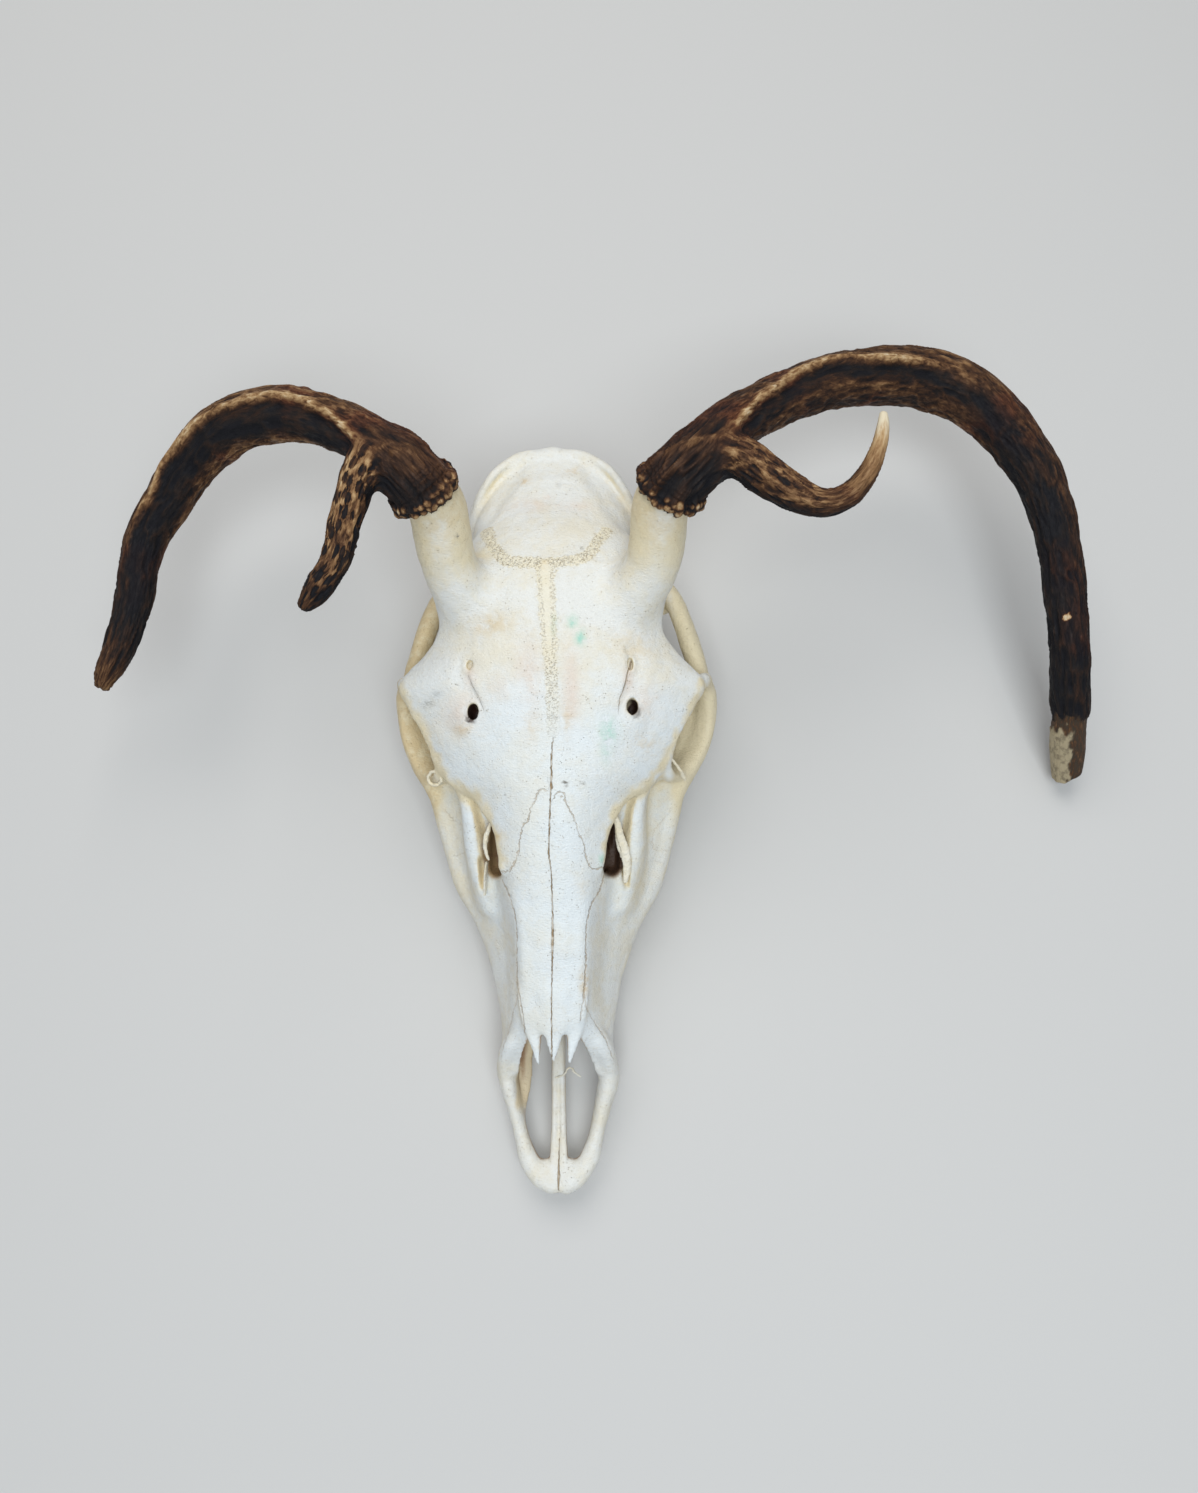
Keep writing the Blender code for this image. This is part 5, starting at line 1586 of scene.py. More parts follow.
@dataclass
class Skull:
    """The whole bone, with its hollows, seams and stains."""

    pedicles: list[Pedicle]
    pitch: float = 1.1
    triangles: int = 196_000
    brow_holes: Rows = (  # x, y, half width, half length, and z of both ends
        (-37.0, 226.8, 2.7, 4.0, 118.0, 94.0), (40.8, 228.4, 2.7, 4.0, 118.0, 94.0),
        (-38.9, 248.6, 1.7, 2.4, 120.0, 106.2), (40.4, 248.0, 1.5, 3.2, 120.0, 105.8),
    )
    low: Row = (-92.0, -8.0, -4.0)
    high: Row = (92.0, 388.0, 164.0)
    snout: Snout = Snout()
    nose_hollow: NoseHollow = NoseHollow()
    forehead: Forehead = Forehead()
    braincase: Braincase = Braincase()
    eye_socket: EyeSocket = EyeSocket()
    nose_bones: NoseBones = NoseBones()
    relief: Relief = Relief()
    seams: Seams = Seams()
    stains: Stains = Stains()

    def build(self) -> bpy.types.Object:
        """Builds the bone's mesh."""
        bone = Field(self.low, self.high, self.pitch)
        self.snout.add_to(bone)
        self.nose_hollow.carve_fissures(bone)
        self.forehead.add_to(bone)
        self.braincase.add_to(bone)
        self.eye_socket.add_to(bone)
        for pedicle in self.pedicles:
            pedicle.add_to(bone)
        self.nose_hollow.carve(bone)
        self.braincase.carve(bone)
        self.eye_socket.carve(bone)
        # Thin floors under the fissure holes and deeper floors under the front brow holes, coloured with the
        # holes' painted shade.
        for side in Side:
            join_ball(bone, side, (27.0, 164.0, 51.0), (9.0, 17.0, 3.0), (0, 0, 0), 1.0)
            join_ball(bone, side, (39.0, 228.0, 95.0), (8.0, 10.0, 8.0), (0, 0, 0), 5.0)
        for x, y, half_width, half_length, top, bottom in self.brow_holes:
            rows = ((x, y, top, half_width, half_length), (0.97 * x, y + 1, bottom, half_width, half_length))
            bone.sweep(np.array(rows), 0.6, up=(0, 1, 0), away=True)
        self.nose_bones.add_to(bone)
        self.form = bone
        made = bone.skin("skull_bone")
        drop_crumbs(made)
        soften(made, 2)
        points = points_of(made)
        away = np.hypot((np.abs(points[:, 0]) - 50) / 22, (points[:, 1] - 247) / 15)
        upward = ramp(normals_of(made)[:, 2], 0.3, 0.6)
        ease(made, fade(away, 0.75) * ramp(points[:, 2], 92, 98) * upward, 60)
        return made

    def carve_relief(self, made: bpy.types.Object) -> None:
        """Moves the skin into its fine relief, and keeps what the finish reads."""
        points = points_of(made)
        normals = normals_of(made)
        noise = Noise(5)
        wide = self.form.openness(points, normals, 26.0)
        tight = self.form.openness(points, normals, 5.0)
        height = self.relief.height(points, normals, noise)
        # How deep in a hollow each point lies; it holds back the relief, and the colours below use it as
        # painted shade.
        inside = 1 - ramp(wide, 0.18, 0.62)
        move_points(made, points + normals * (height * (1 - inside) * ramp(tight, 0.5, 0.9))[:, None])
        x, y, z = points.T
        top = ramp(normals[:, 2], 0.2, 0.6)
        fringe = self.relief.beside(self.relief.frontal_edge, points) + 1.6 * noise.layers(points / 5.0, 2)
        edge = fade(fringe.clip(0) / np.where(x < 0, 1.0, 0.55), 3.6) * ramp(z, 70, 76)
        rim = fade(self.relief.beside(self.relief.crest, points), 4.0) * ramp(z, 66, 74)
        stem = ramp(z, 108, 140) * (0.5 + 0.5 * ramp(np.abs(normals[:, 0]), 0.1, 0.7))
        arch = ramp(np.abs(x), 56, 66) * ramp(y, 175, 200) * (1 - ramp(z, 76, 84))
        under = ramp(-normals[:, 2], -0.1, 0.5)
        cheek = (1 - ramp(z, 56, 80)) * (1 - under) * ramp(y, 120, 165)
        nose = (1 - ramp(np.abs(x), 30, 36)) * (1 - ramp(y, 205, 220))
        from_gap = np.hypot((np.abs(x) - 29) / 7.5, (y - 166.5) / 15)
        gap = (1 - ramp(from_gap, 0.85, 1.05)) * (1 - ramp(z, 58, 75))
        # Orange-brown in the left fissure hole and along the nose hollow: partly the inner wall's own
        # colour, partly painted shade.
        inner_tan_and_shade = np.maximum(0.25 * inside * ramp(y, 136, 146) * (1 - ramp(y, 180, 190)), gap) * (x < 0)
        # Cream also stands in for painted shade: on undersides, on sides, in crevices, on the pedicles'
        # sides and in the hollows outside the nose.
        cream = 0.9 * edge + 0.15 * rim + stem + 1.0 * arch + 0.35 * under + 0.45 * cheek
        cream += 0.2 * (1 - ramp(tight, 0.55, 0.95)) + 0.15 * (1 - top) + 0.9 * inside * (1 - nose)
        ledge = ramp(-x, 8, 11) * (1 - ramp(-x, 20.5, 22.5)) * (1 - ramp(z, 26, 31)) * ramp(y, 36, 44)
        ledge *= 1 - ramp(y, 86, 92)
        cream += ledge
        # Painted shade inside the brow holes, the shallow pits above them and the fissure holes.
        pit = np.zeros(len(points))
        shades = (1, 1, 0.25, 0.4)
        for (hole_x, hole_y, half_width, half_length, _, _), darkness in zip(self.brow_holes, shades):
            out = np.hypot((x - hole_x) / half_width, (y - hole_y) / half_length)
            brim = np.median(z[(out > 1.4) & (out < 2.0) & (normals[:, 2] > 0.6) & (z > 96)])
            pit = np.maximum(pit, darkness * (1 - ramp(out, 1.2, 1.5)) * ramp(brim - z, 0.5, 1.6) * (z > 88))
        pit = np.maximum(pit, gap * np.where(x < 0, 0.5, 0.92))
        paint(made, "cream", cream.clip(0, 1.6))
        # Brown painted shade deep in the nose hollow and in the front corner of each eye socket, and at 0.3
        # on the ledge in the nose opening.
        corner = fade(np.hypot(np.abs(x) - 58, y - 214) / 12, 1.0) * (1 - ramp(z, 70, 78))
        brown = np.maximum(inside * np.maximum(nose, 0.8 * corner), gap)
        paint(made, "inner", np.maximum(brown, 0.3 * ledge).clip(0, 1))
        paint(made, "pit", pit)
        paint(made, "band", self.relief.bands(points))
        paint(made, "pink", self.stains.share(self.stains.pink, points) * top)
        # Painted bluish sky reflection on the upward faces of the snout and the front of the forehead.
        cool = top * (1 - ramp(y, 215, 262)) * (1 - edge.clip(0, 1)) * ramp(z, 30, 60) * (1 - inside)
        paint(made, "cool", cool.clip(0, 1))
        # The ochre stain also carries the painted shade of the left fissure hole and the nose hollow.
        stain_and_shade = 1.6 * inner_tan_and_shade + 1.1 * arch * (x < 0) + 0.5 * ramp(z, 130, 150)
        paint(made, "stain", self.stains.share(self.stains.ochre, points) * top + stain_and_shade)
        paint(made, "green", self.stains.share(self.stains.green, points) * top)
        paint(made, "dark", self.stains.share(self.stains.dark, points) * top)
        self.seams.paint_on(made, points)

    def dress(self, made: bpy.types.Object, finish: bpy.types.Material) -> None:
        """Gives the bone its relief, its finish and its place."""
        self.carve_relief(made)
        thin_out(made, self.triangles)
        made.data.materials.append(finish)
        settle(made, ["skull"])


@dataclass(frozen=True)
class Splinter:
    """A thin loose-edged bar of bone, left standing in an opening."""

    name: str
    rows: Rows  # x, y, z, half width and half height
    closed: bool = False
    pitch: float = 0.35

    def build(self) -> bpy.types.Object:
        """Builds the bar's mesh."""
        table = np.array(self.rows)
        margin = table[:, 3:].max() + 2.0
        lowest = tuple(table[:, :3].min(axis=0) - margin)
        highest = tuple(table[:, :3].max(axis=0) + margin)
        form = Field(lowest, highest, self.pitch)
        form.sweep(table, 0.3, closed=self.closed)
        return form.skin(self.name)

    def dress(self, made: bpy.types.Object, finish: bpy.types.Material) -> None:
        """Gives the bar its roughness, its finish and its place."""
        points = points_of(made)
        normals = normals_of(made)
        noise = Noise(31)
        move_points(made, points + normals * (0.22 * noise.layers(points / 1.6, 2))[:, None])
        paint(made, "cream", np.full(len(points), 0.6))
        paint(made, "band", np.tile((9.0, 0.0, 0.0), (len(points), 1)))
        made.data.materials.append(finish)
        settle(made, [])


def splinters() -> list[Splinter]:
    """The thin bars beside the fissures, in the eye sockets and in the nose opening."""
    return [
        Splinter("fissure_splinter_right", (
            (-30.2, 178.5, 76.0, 0.5, 1.0), (-31.6, 174.5, 76.0, 1.0, 1.2),
            (-33.2, 169.5, 74.0, 1.2, 1.2), (-33.2, 164.5, 72.0, 1.0, 1.0),
            (-31.8, 160.5, 71.0, 0.5, 0.7),
        )),
        Splinter("fissure_strip_right", (
            (-33.2, 160.0, 66.0, 0.5, 3.0), (-34.0, 153.0, 65.0, 0.7, 3.4),
            (-34.6, 145.0, 61.0, 0.7, 3.0),
        )),
        Splinter("fissure_splinter_left", (
            (30.2, 184.0, 78.0, 0.6, 0.8), (32.0, 177.5, 76.0, 1.6, 1.0), (33.4, 171.5, 73.0, 1.9, 1.0),
            (35.6, 164.5, 70.0, 2.2, 1.0), (36.4, 157.0, 67.0, 2.0, 1.0), (35.6, 150.0, 64.0, 1.2, 1.0),
        )),
        Splinter("fissure_fork_left", (
            (31.0, 177.0, 72.0, 0.5, 0.8), (32.4, 169.0, 70.0, 1.3, 1.0), (34.0, 162.0, 68.0, 0.8, 1.0),
        )),
        Splinter("tear_loop_right", (
            (-56.0, 201.0, 74.0, 0.8, 0.8), (-59.0, 204.6, 74.5, 0.8, 0.9),
            (-62.6, 203.0, 72.5, 0.8, 0.9), (-62.0, 199.4, 71.0, 0.8, 0.8),
            (-58.2, 198.4, 72.0, 0.8, 0.8),
        ), closed=True),
        Splinter("tear_rod_left", (
            (56.0, 211.5, 80.0, 0.9, 0.9), (59.6, 208.5, 77.0, 0.7, 0.8), (63.6, 204.2, 73.0, 0.8, 0.8),
            (66.0, 200.5, 68.0, 0.9, 0.9),
        )),
        Splinter("nose_splinter", (
            (-1.5, 55.0, 24.5, 0.4, 0.4), (2.8, 56.5, 25.0, 0.5, 0.5), (5.6, 60.0, 25.8, 0.5, 0.5),
            (8.6, 57.5, 25.2, 0.6, 0.5), (11.6, 55.4, 24.6, 0.35, 0.35),
        )),
    ]


@dataclass(frozen=True)
class BoneFinish:
    """Bleached bone: white with a painted bluish sky reflection, cream edges, yellow stains, brown seams and
    pores, and painted shade in its hollows and holes.
    """

    name: str
    white: Colour = (0.80, 0.81, 0.79)
    pale: Colour = (0.79, 0.745, 0.625)
    # Pale blue of the painted sky reflection.
    cool: Colour = (0.775, 0.83, 0.86)
    cream: Colour = (0.81, 0.715, 0.50)
    ochre: Colour = (0.64, 0.45, 0.20)
    yellow: Colour = (0.88, 0.79, 0.56)
    pink: Colour = (0.75, 0.62, 0.54)
    green: Colour = (0.36, 0.68, 0.58)
    grey: Colour = (0.20, 0.19, 0.17)
    # Brown of the painted shade inside the hollows.
    inner: Colour = (0.30, 0.15, 0.065)
    crack: Colour = (0.22, 0.135, 0.06)
    tan: Colour = (0.60, 0.45, 0.27)
    # Near-black brown of the painted shade inside the holes.
    pit: Colour = (0.035, 0.014, 0.008)
    seams: tuple[tuple[str, float], ...] = (  # each line's name, and how far it wanders in millimetres
        ("seam_middle", 0.9),
        ("seam_forehead", 2.6),
        ("seam_side", 1.6),
        ("seam_cheek", 1.6),
        ("seam_tear", 3.2),
        # the painted shadow line along each brow step
        ("seam_brow", 0.8),
        ("seam_front", 0.6),
    )

    def line(self, n: Nodes, name: str, wander: float, where: bpy.types.NodeSocket) -> bpy.types.NodeSocket:
        """A seam's share of darkness.

        Args:
            n: the material's nodes.
            name: the vector kept on the mesh: distance, half width, strength.
            wander: how far the line strays from its course, in millimetres.
            where: the point's place.

        Returns:
            The share, from 0 to 1.
        """
        parts = n.add("ShaderNodeSeparateXYZ", {0: n.read_vector(name)}).outputs
        wobble = n.math("MULTIPLY", n.math("SUBTRACT", n.noise(where, 1.7, 2.0), 0.5), wander)
        away = n.math("ABSOLUTE", n.math("ADD", parts["X"], wobble))
        ratio = n.math("DIVIDE", away, n.math("MAXIMUM", parts["Y"], 0.001))
        broken = n.math("ADD", 0.62, n.math("MULTIPLY", n.step(n.noise(where, 5.0, 2.0), 0.38, 0.56), 0.5))
        return n.math("MULTIPLY", n.math("MULTIPLY", n.step(ratio, 1.5, 0.4), parts["Z"]), broken)

    def bands(self, n: Nodes, where: bpy.types.NodeSocket) -> tuple[bpy.types.NodeSocket, ...]:
        """Shares of the granular bands: the tint of the whole band, its brown pits and its pale grains."""
        parts = n.add("ShaderNodeSeparateXYZ", {0: n.read_vector("band")}).outputs
        wander = n.math("MULTIPLY", n.math("SUBTRACT", n.noise(where, 1.8, 3.0), 0.5), 4.4)
        out = n.math("ADD", parts["X"], wander)
        inside = n.step(out, 0.9, -0.5)
        core = n.math("MULTIPLY", n.step(parts["X"], -1.7, -3.2), parts["Z"])
        rough = n.math("MULTIPLY", inside, n.math("SUBTRACT", 1.0, n.math("MULTIPLY", core, 0.9)))
        spots = n.step(n.noise(n.stretch(where, (1.0, 1.35, 1.0)), 0.95, 2.0), 0.47, 0.33)
        grains = n.step(n.cells(where, 1.5), 0.42, 0.12)
        tint = n.math("MULTIPLY", inside, parts["Y"])
        calm = n.math("SUBTRACT", n.math("ADD", parts["Y"], 0.1), n.math("MULTIPLY", parts["Z"], 0.3))
        pits = n.math("MULTIPLY", n.math("MULTIPLY", rough, spots), calm)
        return tint, pits, n.math("MULTIPLY", rough, grains)

    def material(self) -> bpy.types.Material:
        """The material."""
        n = Nodes(self.name)
        where = n.place()
        cloud = n.noise(where, 26.0, 1.0)
        small = n.noise(where, 4.5, 3.0)
        speck = n.noise(n.stretch(where, (0.6, 1.2, 1.0)), 1.0, 3.0, 0.65)
        inner = n.read("inner")
        mottle = n.math("ADD", n.math("MULTIPLY", cloud, 0.6), n.math("MULTIPLY", small, 0.4))
        # Painted sky reflection: the white turns bluish and its pale mottle weakens.
        ground = n.mix(n.read("cool"), self.white, self.cool)
        paleness = n.math("SUBTRACT", 0.75, n.math("MULTIPLY", n.read("cool"), 0.4))
        colour = n.mix(n.math("MULTIPLY", n.step(mottle, 0.36, 0.66), paleness), ground, self.pale)
        # The cream attribute holds real cream edges and painted shade.
        edge = n.math("ADD", n.read("cream"), n.math("MULTIPLY", n.math("SUBTRACT", mottle, 0.5), 1.1))
        colour = n.mix(n.step(edge, 0.0, 1.1), colour, self.cream)
        dashes = n.step(speck, 0.56, 0.74)
        colour = n.mix(n.math("MULTIPLY", dashes, 0.28), colour, self.tan)
        # Painted shade inside the hollows: brown mottled with cream.
        colour = n.mix(inner, colour, n.mix(n.math("MULTIPLY", small, 0.28), self.inner, self.cream))
        patchy = n.step(n.math("ADD", small, n.math("MULTIPLY", speck, 0.3)), 0.42, 0.80)
        # The stain attribute holds real stains and some painted shade inside the left fissure.
        stain = n.math("MULTIPLY", n.read("stain"), n.math("ADD", patchy, 0.15), clamp=True)
        colour = n.mix(n.math("MULTIPLY", stain, 0.5), colour, self.ochre)
        blush = n.math("MULTIPLY", n.read("pink"), n.step(mottle, 0.25, 0.75), clamp=True)
        colour = n.mix(blush, colour, self.pink)
        colour = n.mix(n.math("MULTIPLY", n.read("green"), patchy, clamp=True), colour, self.green)
        smudge = n.math("MULTIPLY", n.read("dark"), n.step(speck, 0.3, 0.6), clamp=True)
        colour = n.mix(smudge, colour, self.grey)
        tint, pits, grains = self.bands(n, where)
        colour = n.mix(n.math("MULTIPLY", tint, 0.6), colour, self.yellow)
        colour = n.mix(n.math("MULTIPLY", pits, 0.52), colour, self.tan)
        colour = n.mix(n.math("MULTIPLY", grains, 0.4), colour, self.white)
        dark = self.line(n, *self.seams[0], where)
        for name, wander in self.seams[1:]:
            dark = n.math("MAXIMUM", dark, self.line(n, name, wander, where))
        share = n.math("MULTIPLY", dark, 1.35, clamp=True)
        colour = n.mix(share, colour, n.mix(dark, self.tan, self.crack))
        pores = n.step(n.cells(where, 1.6), 0.20, 0.05)
        pores = n.math("MULTIPLY", pores, n.step(n.noise(where, 9.0, 2.0), 0.48, 0.62))
        colour = n.mix(n.math("MULTIPLY", pores, 0.4), colour, self.ochre)
        # Painted shade inside the holes.
        colour = n.mix(n.read("pit"), colour, self.pit)
        height = n.math("ADD", n.math("MULTIPLY", speck, 0.34), n.math("MULTIPLY", small, 0.34))
        height = n.math("ADD", height, n.math("MULTIPLY", grains, 0.15))
        height = n.math("SUBTRACT", height, n.math("MULTIPLY", pits, 0.3))
        height = n.math("SUBTRACT", height, n.math("MULTIPLY", dark, 0.6))
        height = n.math("SUBTRACT", height, n.math("MULTIPLY", pores, 0.3))
        return n.finish(colour, height, 1.5, n.step(small, -0.4, 1.4))


# ---- the cheek teeth ----


@dataclass(frozen=True)
class ToothPlace:
    """Where one cheek tooth stands, and its size."""

    x: float
    y: float
    heading: float
    length: float
    width: float


@dataclass
class CheekTooth:
    """One grinding tooth: crescent lobes with worn enamel edges round dark hollows."""

    side: Side
    number: int  # 1 is the front premolar and 6 the last molar
    place: ToothPlace
    pitch: float = 0.5
    crown: float = 17.0
    enamel: float = 0.9
    hollow_depth: float = 3.2
    dish_depth: float = 0.7
    taper: Rows = ((-1.5, 0.90), (1.2, 0.98), (9.0, 0.94), (16.0, 0.82))  # height and share of the size

    @property
    def lobes(self) -> list[float]:
        """The middle of each lobe along the row: molars have two and premolars one."""
        quarter = self.place.length / 4
        return [-quarter, quarter] if self.number > 3 else [0.0]

    def build(self) -> bpy.types.Object:
        """Builds the tooth's mesh, standing at the origin with its worn face at the floor."""
        length, width = self.place.length, self.place.width
        form = Field((-length / 2 - 3, -width / 2 - 3, -3), (length / 2 + 3, width / 2 + 3, self.crown + 2),
                     self.pitch, far=5.0)
        lobe_half = length / 2 / len(self.lobes)
        inward = self.side.value
        for middle in self.lobes:
            for across, reach in ((0.20, 0.30), (-0.16, 0.30)):
                rows = [(middle * share, across * width * inward * share, z, (lobe_half - 0.1) * share,
                         reach * width * share) for z, share in self.taper]
                form.sweep(np.array(rows), 1.4, up=(0, 1, 0), cap=0.2)
        for rib in np.linspace(-0.44, 0.44, 2 * len(self.lobes) + 1):
            size = 1.5 if round(rib / 0.44 * len(self.lobes)) % 2 == len(self.lobes) % 2 else 1.1
            rows = [(rib * length * share, -0.41 * width * inward * share, z, size * share, size * share)
                    for z, share in self.taper]
            form.sweep(np.array(rows), 1.2, up=(0, 1, 0), cap=0.2)
        self.body = form.value.copy()
        hollows = Field(form.low, form.high, self.pitch, far=5.0)
        for middle in self.lobes:
            rows = []
            for turn in np.linspace(-1.1, 1.1, 7):
                x = middle + lobe_half * 0.52 * math.sin(turn)
                y = (0.20 * math.cos(turn) - 0.16) * width * inward
                rows.append((x, y, -1.5, 0.55, self.hollow_depth))
            hollows.sweep(np.array(rows), 0.5, cap=1.0)
        form.carve((slice(None),) * 3, hollows.value, 0.5)
        form.half_space(form.low, (*form.high[:2], 2.0), (0, 0, -1), -0.05, 0.6)
        self.form, self.hollows = form, hollows
        return form.skin(f"cheek_tooth_{self.side.word}_{self.number}")

    def dress(self, made: bpy.types.Object, finish: bpy.types.Material) -> None:
        """Dishes the worn dentine, gives the tooth its finish and puts it in its row."""
        points = points_of(made)
        normals = normals_of(made)
        body = Field(self.form.low, self.form.high, self.pitch)
        body.value = self.body
        depth = -body.at(points)
        hollow = self.hollows.at(points)
        worn = ramp(-normals[:, 2], 0.5, 0.9) * ramp(-points[:, 2], -2.0, -1.0)
        dentine = worn * ramp(depth, self.enamel, self.enamel + 0.5) * ramp(hollow, self.enamel * 0.6, 1.3)
        points[:, 2] += dentine * self.dish_depth
        move_points(made, points)
        paint(made, "dentine", dentine)
        paint(made, "hollow", 1 - self.form.openness(points, normals, 2.5))
        turn = Matrix.Rotation(self.place.heading, 4, "Z")
        made.data.transform(Matrix.Translation(Vector((self.place.x, self.place.y, 0)) * MM) @ turn)
        made.data.materials.append(finish)
        settle(made, [f"tooth_{self.side.word}_{self.number}"])


@dataclass(frozen=True)
class ToothRow:
    """One side's row of six upper cheek teeth."""

    side: Side
    lengths: Row = (11.0, 12.5, 12.0, 15.5, 18.0, 18.0)
    widths: Row = (9.5, 12.0, 14.0, 17.0, 19.0, 18.5)
    start: tuple[float, float] = (24.5, 116.0)
    end: tuple[float, float] = (39.0, 204.0)
    bulge: float = 2.5  # how far the row bows outwards
    gap: float = 0.35

    def teeth(self) -> list[CheekTooth]:
        """The teeth, front to back."""
        start, end = np.array(self.start), np.array(self.end)
        run = end - start
        outward = np.array([run[1], -run[0]]) / np.linalg.norm(run)
        ends = np.concatenate([[0], np.cumsum(self.lengths)]) / sum(self.lengths)
        made = []
        for k, (length, width) in enumerate(zip(self.lengths, self.widths)):
            share = ends[k : k + 2, None]
            corners = start + run * share + outward * self.bulge * 4 * share * (1 - share)
            centre = corners.mean(axis=0)
            ahead = corners[1] - corners[0]
            heading = math.atan2(ahead[1], self.side.value * ahead[0])
            place = ToothPlace(self.side.value * centre[0], centre[1], heading, length - self.gap, width)
            made.append(CheekTooth(self.side, k + 1, place))
        return made


# ---- the antlers ----


@dataclass(frozen=True)
class Spot:
    """Where points lie round a branch: along it, round it, and how far from its skin."""

    along: np.ndarray
    front: np.ndarray  # towards the inside of the antler's bow
    over: np.ndarray  # upwards
    radius: np.ndarray
    gap: np.ndarray

    @property
    def turn(self) -> np.ndarray:
        """The angle round the branch, 0 at the inside of the bow and a quarter turn on top."""
        return np.arctan2(self.over, self.front)

    def grain(self, width: float) -> np.ndarray:
        """Coordinates that run along the branch and have no seam round it.

        Args:
            width: the branch's nominal radius, so that the grain's scale stays the same along it.

        Returns:
            Length along and two coordinates across, in millimetres.
        """
        size = np.maximum(np.hypot(self.front, self.over), 1e-6)
        return np.column_stack([self.along, self.front / size * width, self.over / size * width])


@dataclass
class Antler:
    """One antler: its burr, its beam and its brow tine as one body."""

    side: Side
    burr_centre: Row
    burr_axis: Row
    beam: Rows  # x, y, z and radius from above the burr to the tip
    tine: Rows
    crest: Rows  # length along the beam, angle round it in degrees, strength
    shoulder: Rows  # the same for the ridge that runs from the burr onto the tine
    tones: Rows  # length along the beam, and how light it is above, under, below and far below the crest
    tine_tones: Rows  # share of the tine's length, how light its top and its underside are, how smooth it is
    seed: int
    broken_end: bool = False
    chips: Rows = ()  # length along the beam, angle round it in degrees, radius
    pitted: float = 1.0  # how deep the pits on the tine are
    pitch: float = 0.8
    triangles: int = 192_000
    burr_radius: float = 14.6
    burr_half_height: float = 3.2
    pearls: int = 31
    pearl_radius: float = 1.8
    foot_rows: Rows = ((-3.4, 12.6), (1.5, 14.2), (5.0, 14.4))  # height above the burr and radius
    fork_blend: float = 5.0
    tone_places: Row = (6.0, -5.0, -13.0, -21.0)  # millimetres round the beam from its crest

    def build(self) -> bpy.types.Object:
        """Builds the antler's mesh, with its burr and pearls."""
        axis = np.array(Vector(self.burr_axis).normalized())
        foot = [(*(np.array(self.burr_centre) + axis * height), radius) for height, radius in self.foot_rows]
        rows = np.vstack([foot, self.beam])
        tine = np.array(self.tine)
        everything = np.vstack([rows, tine])
        margin = 8.0
        low = everything[:, :3].min(axis=0) - everything[:, 3].max() - margin
        high = everything[:, :3].max(axis=0) + everything[:, 3].max() + margin
        form = Field(tuple(low), tuple(high), self.pitch)
        form.sweep(rows, 1.0, cap=0.05)
        form.sweep(tine, 8.0, cap=0.6)
        if self.broken_end:
            self._break(form, rows)
        self._burr(form, axis)
        self.form = form
        self.beam_course = Course.through(rows, 2.0)
        self.tine_course = Course.through(tine, 2.0)
        made = form.skin(f"antler_{self.side.word}")
        drop_crumbs(made)
        return made

    def _break(self, form: Field, rows: np.ndarray) -> None:
        """Cuts the beam's end off along a slanted plane."""
        end = rows[-1, :3]
        ahead = Vector(rows[-1, :3] - rows[-3, :3]).normalized()
        normal = (ahead + Vector((0.30, 0, 0.15))).normalized()
        low = tuple(end - 22)
        high = tuple(end + 22)
        form.half_space(low, high, tuple(normal), float(np.dot(end, normal)) - 0.5, 0.5)

    def _burr(self, form: Field, axis: np.ndarray) -> None:
        """Joins the collar and its ring of pearls."""
        centre = np.array(self.burr_centre)
        form.collar(centre, axis, self.burr_radius, self.burr_half_height, 2.2, 2.0)
        across = np.cross(axis, (0, 0, 1))
        across /= np.linalg.norm(across)
        over = np.cross(across, axis)
        chance = np.random.default_rng(self.seed)
        self.pearl_places = []
        for ring, (height, reach, share) in enumerate(((-1.4, 15.6, 1.0), (1.8, 15.4, 0.75))):
            for k in range(self.pearls):
                if ring and chance.uniform() < 0.35:
                    continue
                turn = 2 * math.pi * (k + 0.5 * ring + chance.uniform(-0.25, 0.25)) / self.pearls
                out = across * math.cos(turn) + over * math.sin(turn)
                radius = self.pearl_radius * share * chance.uniform(0.75, 1.25)
                place = centre + axis * (height + chance.uniform(-0.8, 0.8))
                place = place + out * (reach + chance.uniform(-0.5, 0.8))
                long = (radius, radius * 1.05, radius * chance.uniform(1.0, 1.5))
                form.ellipsoid(tuple(place), long, (0, 0, 0), 0.7)
                self.pearl_places.append((*place, radius))

    def locate(self, points: np.ndarray, course: Course) -> Spot:
        """Finds each point's place round a branch."""
        near = np.empty(len(points), int)
        for start in range(0, len(points), 20000):
            part = points[start : start + 20000]
            gaps = ((part[:, None, :] - course.rows[None, :, :3]) ** 2).sum(axis=-1)
            near[start : start + 20000] = gaps.argmin(axis=1)
        offset = points - course.rows[near, :3]
        ahead = np.einsum("ij,ij->i", offset, course.ahead[near])
        front = np.einsum("ij,ij->i", offset, course.across[near]) * self.side.value
        over = np.einsum("ij,ij->i", offset, course.over[near])
        radius = course.rows[near, 3]
        ends = (near == 0) | (near == len(course.rows) - 1)
        away = np.where(ends, np.sqrt((offset**2).sum(axis=1)), np.hypot(front, over))
        return Spot(course.along[near] + ahead, front, over, radius, away - radius)

